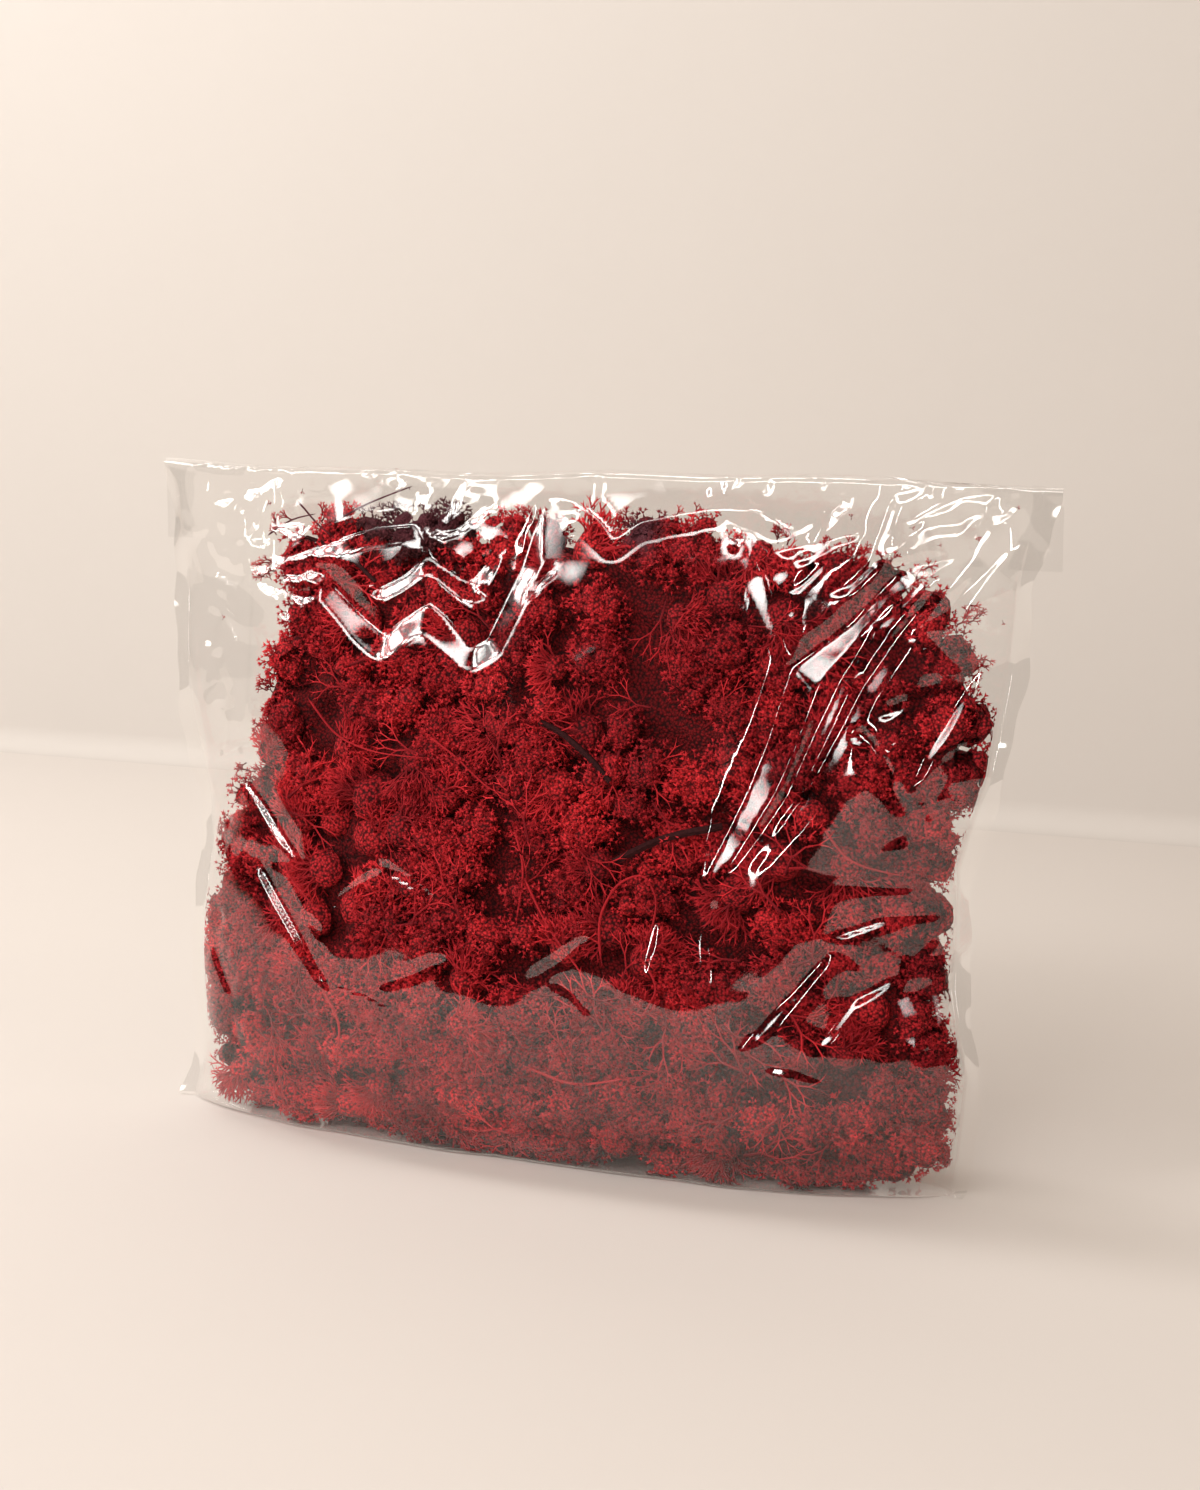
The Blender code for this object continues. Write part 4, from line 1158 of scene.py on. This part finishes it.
def dye_and_painted_light_group():
    """Colour and relief of dyed lichen from where a point is on its branch. The colour holds painted shade
    towards the stem and painted light towards the tip.
    """
    group = bpy.data.node_groups.new("dye_and_painted_light", "ShaderNodeTree")
    for name, value in GROUP_INPUTS.items():
        kind = "NodeSocketColor" if isinstance(value, tuple) else "NodeSocketFloat"
        group.interface.new_socket(name, in_out="INPUT", socket_type=kind).default_value = value
    group.interface.new_socket("Color", in_out="OUTPUT", socket_type="NodeSocketColor")
    group.interface.new_socket("Height", in_out="OUTPUT", socket_type="NodeSocketFloat")
    given, out = group.nodes.new("NodeGroupInput"), group.nodes.new("NodeGroupOutput")
    tree = Wiring(group)
    place, noise = tree.add("TexCoord"), tree.add("TexNoise", {"Detail": 3})
    patch = tree.add("TexNoise", {"Scale": PATCH_SCALE, "Detail": 2})
    tone_ramp, patch_ramp = tree.ramp(*TONE_STOPS), tree.ramp(*PATCH_STOPS)
    by_tip, by_stain = (tree.add("Mix", data_type="RGBA") for _ in range(2))
    by_tone, by_patch = (
        tree.add("Mix", {"Factor": 1}, data_type="RGBA", blend_type="MULTIPLY") for _ in range(2))
    tree.link(
        (place, "Object", noise, "Vector"),
        (given, "Grain", noise, "Scale"),
        (noise, "Fac", out, "Height"),
        (given, "Nearness", by_tip, "Factor"),
        (given, "Stem", by_tip, "A"),
        (given, "Tip", by_tip, "B"),
        (given, "Tone", tone_ramp, "Fac"),
        (by_tip, "Result", by_tone, "A"),
        (tone_ramp, "Color", by_tone, "B"),
        (place, "Object", patch, "Vector"),
        (patch, "Fac", patch_ramp, "Fac"),
        (by_tone, "Result", by_patch, "A"),
        (patch_ramp, "Color", by_patch, "B"),
        (given, "Stained", by_stain, "Factor"),
        (by_patch, "Result", by_stain, "A"),
        (given, "Stain", by_stain, "B"),
        (by_stain, "Result", out, "Color"))
    return group


DYE_AND_PAINTED_LIGHT = dye_and_painted_light_group()
print("group inputs", [*GROUP_INPUTS])

# %% Moss materials
CROWN_GRAIN = 1.0
# a grain's middle takes the tip colour as painted light, its rim the gap colour as painted shade
GRAIN_BUMP_AND_SHADE_STOPS = (0.15, (1, 1, 1)), (0.75, (0, 0, 0))


def moss_material(name, stem, tip, stain, grain, crown=False, on_sprigs=True):
    """A matt dyed lichen, with painted light and shade. Sprigs and crowns carry their own values, and a crown
    is grained with tiny tips: a bump, with painted light on the tips and painted shade in the gaps between
    them.
    """
    material, tree, shader, _ = fresh_material(name, {"Roughness": 0.82, "Specular IOR Level": 0.22})
    dyed = tree.add("Group", node_tree=DYE_AND_PAINTED_LIGHT)
    for socket, colour in (("Stem", stem), ("Tip", tip), ("Stain", stain)):
        dyed.inputs[socket].default_value = (*colour, 1)
    dyed.inputs["Grain"].default_value = grain
    if on_sprigs:
        for socket, label in (("Nearness", "tip"), ("Tone", "tone"), ("Stained", "brown")):
            tree.link((tree.add("Attribute", attribute_name=label), "Fac", dyed, socket))
    # the grain pattern bumps the tiny tips, paints light on them and paints shade in the gaps between them
    if crown or not on_sprigs:
        place, tips = tree.add("TexCoord"), tree.add("TexVoronoi", {"Scale": 1 / (CROWN_GRAIN * MM)})
        grain_bump_and_shade = tree.ramp(*GRAIN_BUMP_AND_SHADE_STOPS)
        bump = tree.add("Bump", {"Strength": 1.0, "Distance": 0.5 * MM})
        tree.link(
            (place, "Object", tips, "Vector"),
            (tips, "Distance", grain_bump_and_shade, "Fac"),
            (grain_bump_and_shade, "Color", dyed, "Nearness"),
            (grain_bump_and_shade, "Color", bump, "Height"))
    else:
        bump = tree.add("Bump", {"Strength": 0.6, "Distance": 0.2 * MM})
        tree.link((dyed, "Height", bump, "Height"))
    tree.link((dyed, "Color", shader, "Base Color"), (bump, "Normal", shader, "Normal"))
    return material


# stem colours are the dye darkened as painted shade, tip colours the dye brightened as painted light
CRIMSON_SHADED_STEM, CRIMSON_SHADED_GAP, CRIMSON_LIT_TIP = (0.15, 0.003, 0.009), (0.07, 0.0015, 0.004), (0.88, 0.034, 0.052)
BROWN_SHADED_STEM, BROWN_SHADED_GAP, BROWN_LIT_TIP = (0.045, 0.012, 0.016), (0.012, 0.003, 0.004), (0.15, 0.035, 0.045)
# the inner body's colours are the crimson darkened as painted shade for the depth of the moss
DEEP_SHADED_GAP, DEEP_SHADED_TIP = (0.035, 0.0008, 0.002), (0.30, 0.008, 0.014)
STAIN = (0.10, 0.022, 0.032)
FINE_GRAIN, DEEP_GRAIN = 1400, 700
crimson_finishes = (
    moss_material("crimson_moss", CRIMSON_SHADED_STEM, CRIMSON_LIT_TIP, STAIN, FINE_GRAIN),
    moss_material("crimson_crown", CRIMSON_SHADED_GAP, CRIMSON_LIT_TIP, STAIN, FINE_GRAIN, crown=True))
brown_finishes = (
    moss_material("brown_moss", BROWN_SHADED_STEM, BROWN_LIT_TIP, STAIN, FINE_GRAIN),
    moss_material("brown_crown", BROWN_SHADED_GAP, BROWN_LIT_TIP, STAIN, FINE_GRAIN, crown=True))
deep = moss_material("painted_shade_deep_moss", DEEP_SHADED_GAP, DEEP_SHADED_TIP, STAIN, DEEP_GRAIN, on_sprigs=False)
for name, tuft in zip(tuft_names, tufts):
    is_brown = name in brown_tufts
    for finish in brown_finishes if is_brown else crimson_finishes:
        tuft.data.materials.append(finish)
inner.data.materials.append(deep)
stems.data.materials.append(crimson_finishes[0])
print("brown tufts", brown_tufts)

# %% [markdown]
# ## Film: one sheet in front, one behind
#
# The bag is two sheets of film, welded at the sides. The front sheet starts at the middle of the base, comes
# forward, rises, and folds over at the top to hang down behind as the lip. The back sheet goes the other way
# and ends at the fold. Each is a grid of points, closer together near the seams, where the film curves most.

# %% Building the two sheets
BAG_TOP = 225.0
LIP_HALF, LIP_DROP, SEAM_AT_TOP = 155.3, 27.0, 146
FRONT_COLUMNS, BACK_COLUMNS, FIN_COLUMNS = 226, 124, 5
FRONT_STEP, BACK_STEP = 1.3, 2.5
WELD_GAP = 0.12
SEAM_CROWDING = 0.4
BASE_ROWS, BASE_CURVE, LIP_ROWS = 9, 3, 22
LOW_ROWS, FIRST_ROW = (0.6, 1.4), 2.4
DRIFT_ROWS, DRIFT_HEIGHT = 12, 15


def column_places(count):
    """Places across the bag from -1 to 1, about twice as close together at the seams."""
    even = np.linspace(-1, 1, count)
    return (1 - SEAM_CROWDING) * even + SEAM_CROWDING * np.sin(math.pi * even / 2)


def ripples(at, *waves):
    """Sine waves added up, each given by its height, its length over 2 pi and its lag."""
    return sum(height * np.sin(at / length + lag) for height, length, lag in waves)


def fin_edge(z, side):
    """The outer edge of a seam fin is cut straight but crumpled, so it wanders a little."""
    return ripples(z, (0.7, 7.3, side), (0.5, 3.1, 2 * side))


def fin_ripple(z, side, out):
    """The fin stands off to the front and back in ripples that grow outwards."""
    return out * ripples(z, (0.9, 9.3, 1.7 * side), (0.35, 3.9, side), (1.4, 23, side))


def body_row(z, columns, film, weld):
    """One level row of film, from the left fin's edge across the body to the right fin's edge."""
    left, right = along(LEFT_SIDE, z), along(RIGHT_SIDE, z)
    seam_left, seam_right = left + SEAM_FIN, right - SEAM_FIN
    u = column_places(columns)
    body_x = (seam_left + seam_right) / 2 + u * (seam_right - seam_left) / 2
    body_y = film(body_x, np.full_like(body_x, z)) + weld
    out = np.linspace(1, 0, FIN_COLUMNS, endpoint=False)
    left_x = seam_left - out * (SEAM_FIN - fin_edge(z, -1))
    right_x = (seam_right + out * (SEAM_FIN - fin_edge(z, 1)))[::-1]
    left_y = body_y[0] + fin_ripple(z, -1, out)
    right_y = (body_y[-1] + fin_ripple(z, 1, out))[::-1]
    x = np.concatenate([left_x, body_x, right_x])
    y = np.concatenate([left_y, body_y, right_y])
    return np.stack([x, y, np.full_like(x, z)], axis=1)


def base_rows(first_row):
    """Rows of the flat base, from the bag's middle plane out to the first standing row."""
    shares = np.linspace(0, 1, BASE_ROWS, endpoint=False)
    return [first_row * (1, share, share**BASE_CURVE) for share in shares]


def top_drift(x):
    """The cut of the top fold isn't quite straight."""
    return ripples(x, (0.9, 41, 0), (0.5, 13, 1)) - 0.6


def lip_rows(total):
    """The lip: over the top, then down behind the back sheet."""
    x = np.linspace(-1, 1, total) * LIP_HALF
    rows = []
    for drop in np.linspace(0.4, LIP_DROP, LIP_ROWS):
        z = np.full(total, BAG_TOP - drop)
        behind = np.where(np.abs(x) < SEAM_AT_TOP, back_film(np.clip(x, -SEAM_AT_TOP, SEAM_AT_TOP), z), 0.5)
        flutter = ripples(x, (0.5, 9, drop / 6), (0.35, 4.3, -drop / 3))
        y = np.maximum(behind, 0.4) + 0.8 + (0.4 + flutter * 0.4) * min(1, drop / 6)
        rows.append(np.stack([x, y, z + top_drift(x) * (1 - drop / LIP_DROP)], axis=1))
    return rows


def quads_of(rows, columns):
    """Quads between neighbouring rows of a sheet."""
    row, column = np.meshgrid(np.arange(rows - 1), np.arange(columns - 1), indexing="ij")
    here = row * columns + column
    return np.stack([here, here + 1, here + columns + 1, here + columns], axis=2).reshape(-1, 4)


def film_sheet(columns, step, film, weld, with_lip):
    """Points and quads of one sheet, from the base up."""
    heights = np.concatenate([LOW_ROWS, np.arange(FIRST_ROW, BAG_TOP - 0.5, step)])
    standing = [body_row(z, columns, film, weld) for z in heights]
    for row in standing[-DRIFT_ROWS:]:
        row[:, 2] += top_drift(row[:, 0]) * np.clip((row[:, 2] - BAG_TOP + DRIFT_HEIGHT) / DRIFT_HEIGHT, 0, 1)
    total = columns + 2 * FIN_COLUMNS
    rows = base_rows(standing[0]) + standing + (lip_rows(total) if with_lip else [])
    return np.vstack(rows), quads_of(len(rows), total)


front_points, front_quads = film_sheet(FRONT_COLUMNS, FRONT_STEP, front_film, -WELD_GAP, True)
back_points, back_quads = film_sheet(BACK_COLUMNS, BACK_STEP, back_film, WELD_GAP, False)
film_points = np.vstack([front_points, back_points])
film_quads = np.vstack([front_quads, back_quads[:, ::-1] + len(front_points)])
film = add_mesh("bag_film", film_points, film_quads)
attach(film, "root")
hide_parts("film_bag")
print("film quads", len(film_quads))

# %% [markdown]
# ## Film: finish
#
# A clear film lets nearly all light through and mirrors the rest, more so the flatter one looks along it.
# Refraction doesn't show in a sheet so thin, so a mix of a Transparent shader and a mirror is both truer and
# faster than glass. Layer Weight's facing value is the same on both faces of the sheet, and raised to the
# fifth power it follows the real rise of the mirroring towards the edges.

# %% Film material
FILM_TINT = (1.0, 0.998, 0.995)
FILM_ROUGHNESS = 0.045
MIRROR_LEAST, MIRROR_MORE = 0.085, 0.9
FACING_POWER = 5
CRINKLE_SCALE = 75


def film_material():
    """A mirror mixed with plain see-through by the angle of view, and faintly crinkled."""
    base = {"Base Color": (0.98, 0.98, 0.98, 1), "Metallic": 1.0, "Roughness": FILM_ROUGHNESS}
    material, tree, mirror, output = fresh_material("clear_film", base)
    clear = tree.add("BsdfTransparent", {"Color": (*FILM_TINT, 1)})
    facing, mix = tree.add("LayerWeight"), tree.add("MixShader")
    steep = tree.add("Math", {1: FACING_POWER}, operation="POWER")
    spread = tree.add("Math", {1: MIRROR_MORE, 2: MIRROR_LEAST}, operation="MULTIPLY_ADD")
    place, bump = tree.add("TexCoord"), tree.add("Bump", {"Strength": 0.15, "Distance": 0.2 * MM})
    crinkle = tree.add("TexVoronoi", {"Scale": CRINKLE_SCALE}, feature="DISTANCE_TO_EDGE")
    tree.link(
        (facing, "Facing", steep, 0),
        (steep, "Value", spread, 0),
        (spread, "Value", mix, "Fac"),
        (clear, "BSDF", mix, 1),
        (mirror, "BSDF", mix, 2),
        (mix, "Shader", output, "Surface"),
        (place, "Object", crinkle, "Vector"),
        (crinkle, "Distance", bump, "Height"),
        (bump, "Normal", mirror, "Normal"))
    return material


film.data.materials.append(film_material())
print("film finish on", film.name)

# %% [markdown]
# ## Twigs
#
# Three dark bits of twig lie between the moss and the film. Their solids already have the right shape, but
# the film here is a little flatter than the solid bag, so each is copied and laid just behind it. A curve is
# fitted to the twig's depth along its length and another to the film's: the twig moves from the one to the
# other and stays round.

# %% Twigs and their finish
BARK_STOPS = (0, (0.010, 0.003, 0.004)), (1, (0.060, 0.014, 0.015))


def laid_behind_film(points):
    """The same twig, moved front to back so that it lies just behind the front film."""
    x, y, z = points.T
    flat = np.stack([x - x.mean(), z - z.mean()], axis=1)
    place = flat @ np.linalg.svd(flat, full_matrices=False)[2][0]
    roundness = y - np.polyval(np.polyfit(place, y, 2), place)
    behind = np.polyval(np.polyfit(place, look_up(front_grid, x, z), 2), place) + FILM_GAP - roundness.min()
    return press_in(np.stack([x, behind + roundness, z], axis=1))


def twig_material():
    """Dull dark bark, with a fine grain."""
    material, tree, shader, _ = fresh_material("dark_twig", {"Roughness": 0.85, "Specular IOR Level": 0.12})
    place, noise = tree.add("TexCoord"), tree.add("TexNoise", {"Scale": 900, "Detail": 4})
    ramp, bump = tree.ramp(*BARK_STOPS), tree.add("Bump", {"Distance": 0.3 * MM})
    tree.link(
        (place, "Object", noise, "Vector"),
        (noise, "Fac", ramp, "Fac"),
        (ramp, "Color", shader, "Base Color"),
        (noise, "Fac", bump, "Height"),
        (bump, "Normal", shader, "Normal"))
    return material


bark = twig_material()
twig_names = sorted(name for name in frame["nodes"] if name.startswith("twig"))
for name in twig_names:
    node = frame["nodes"][name]
    mesh = node.data.copy()
    mesh.name = "bark_" + name
    mesh.transform(node.matrix_world)
    places = np.empty(len(mesh.vertices) * 3)
    mesh.vertices.foreach_get("co", places)
    mesh.vertices.foreach_set("co", (laid_behind_film(places.reshape(-1, 3) / MM) * MM).ravel())
    mesh.update()
    mesh.shade_smooth()
    mesh.materials.clear()
    mesh.materials.append(bark)
    twig = bpy.data.objects.new("bark_" + name, mesh)
    bpy.context.scene.collection.objects.link(twig)
    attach(twig, "root")
    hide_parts(name)
print("twigs", len(twig_names))
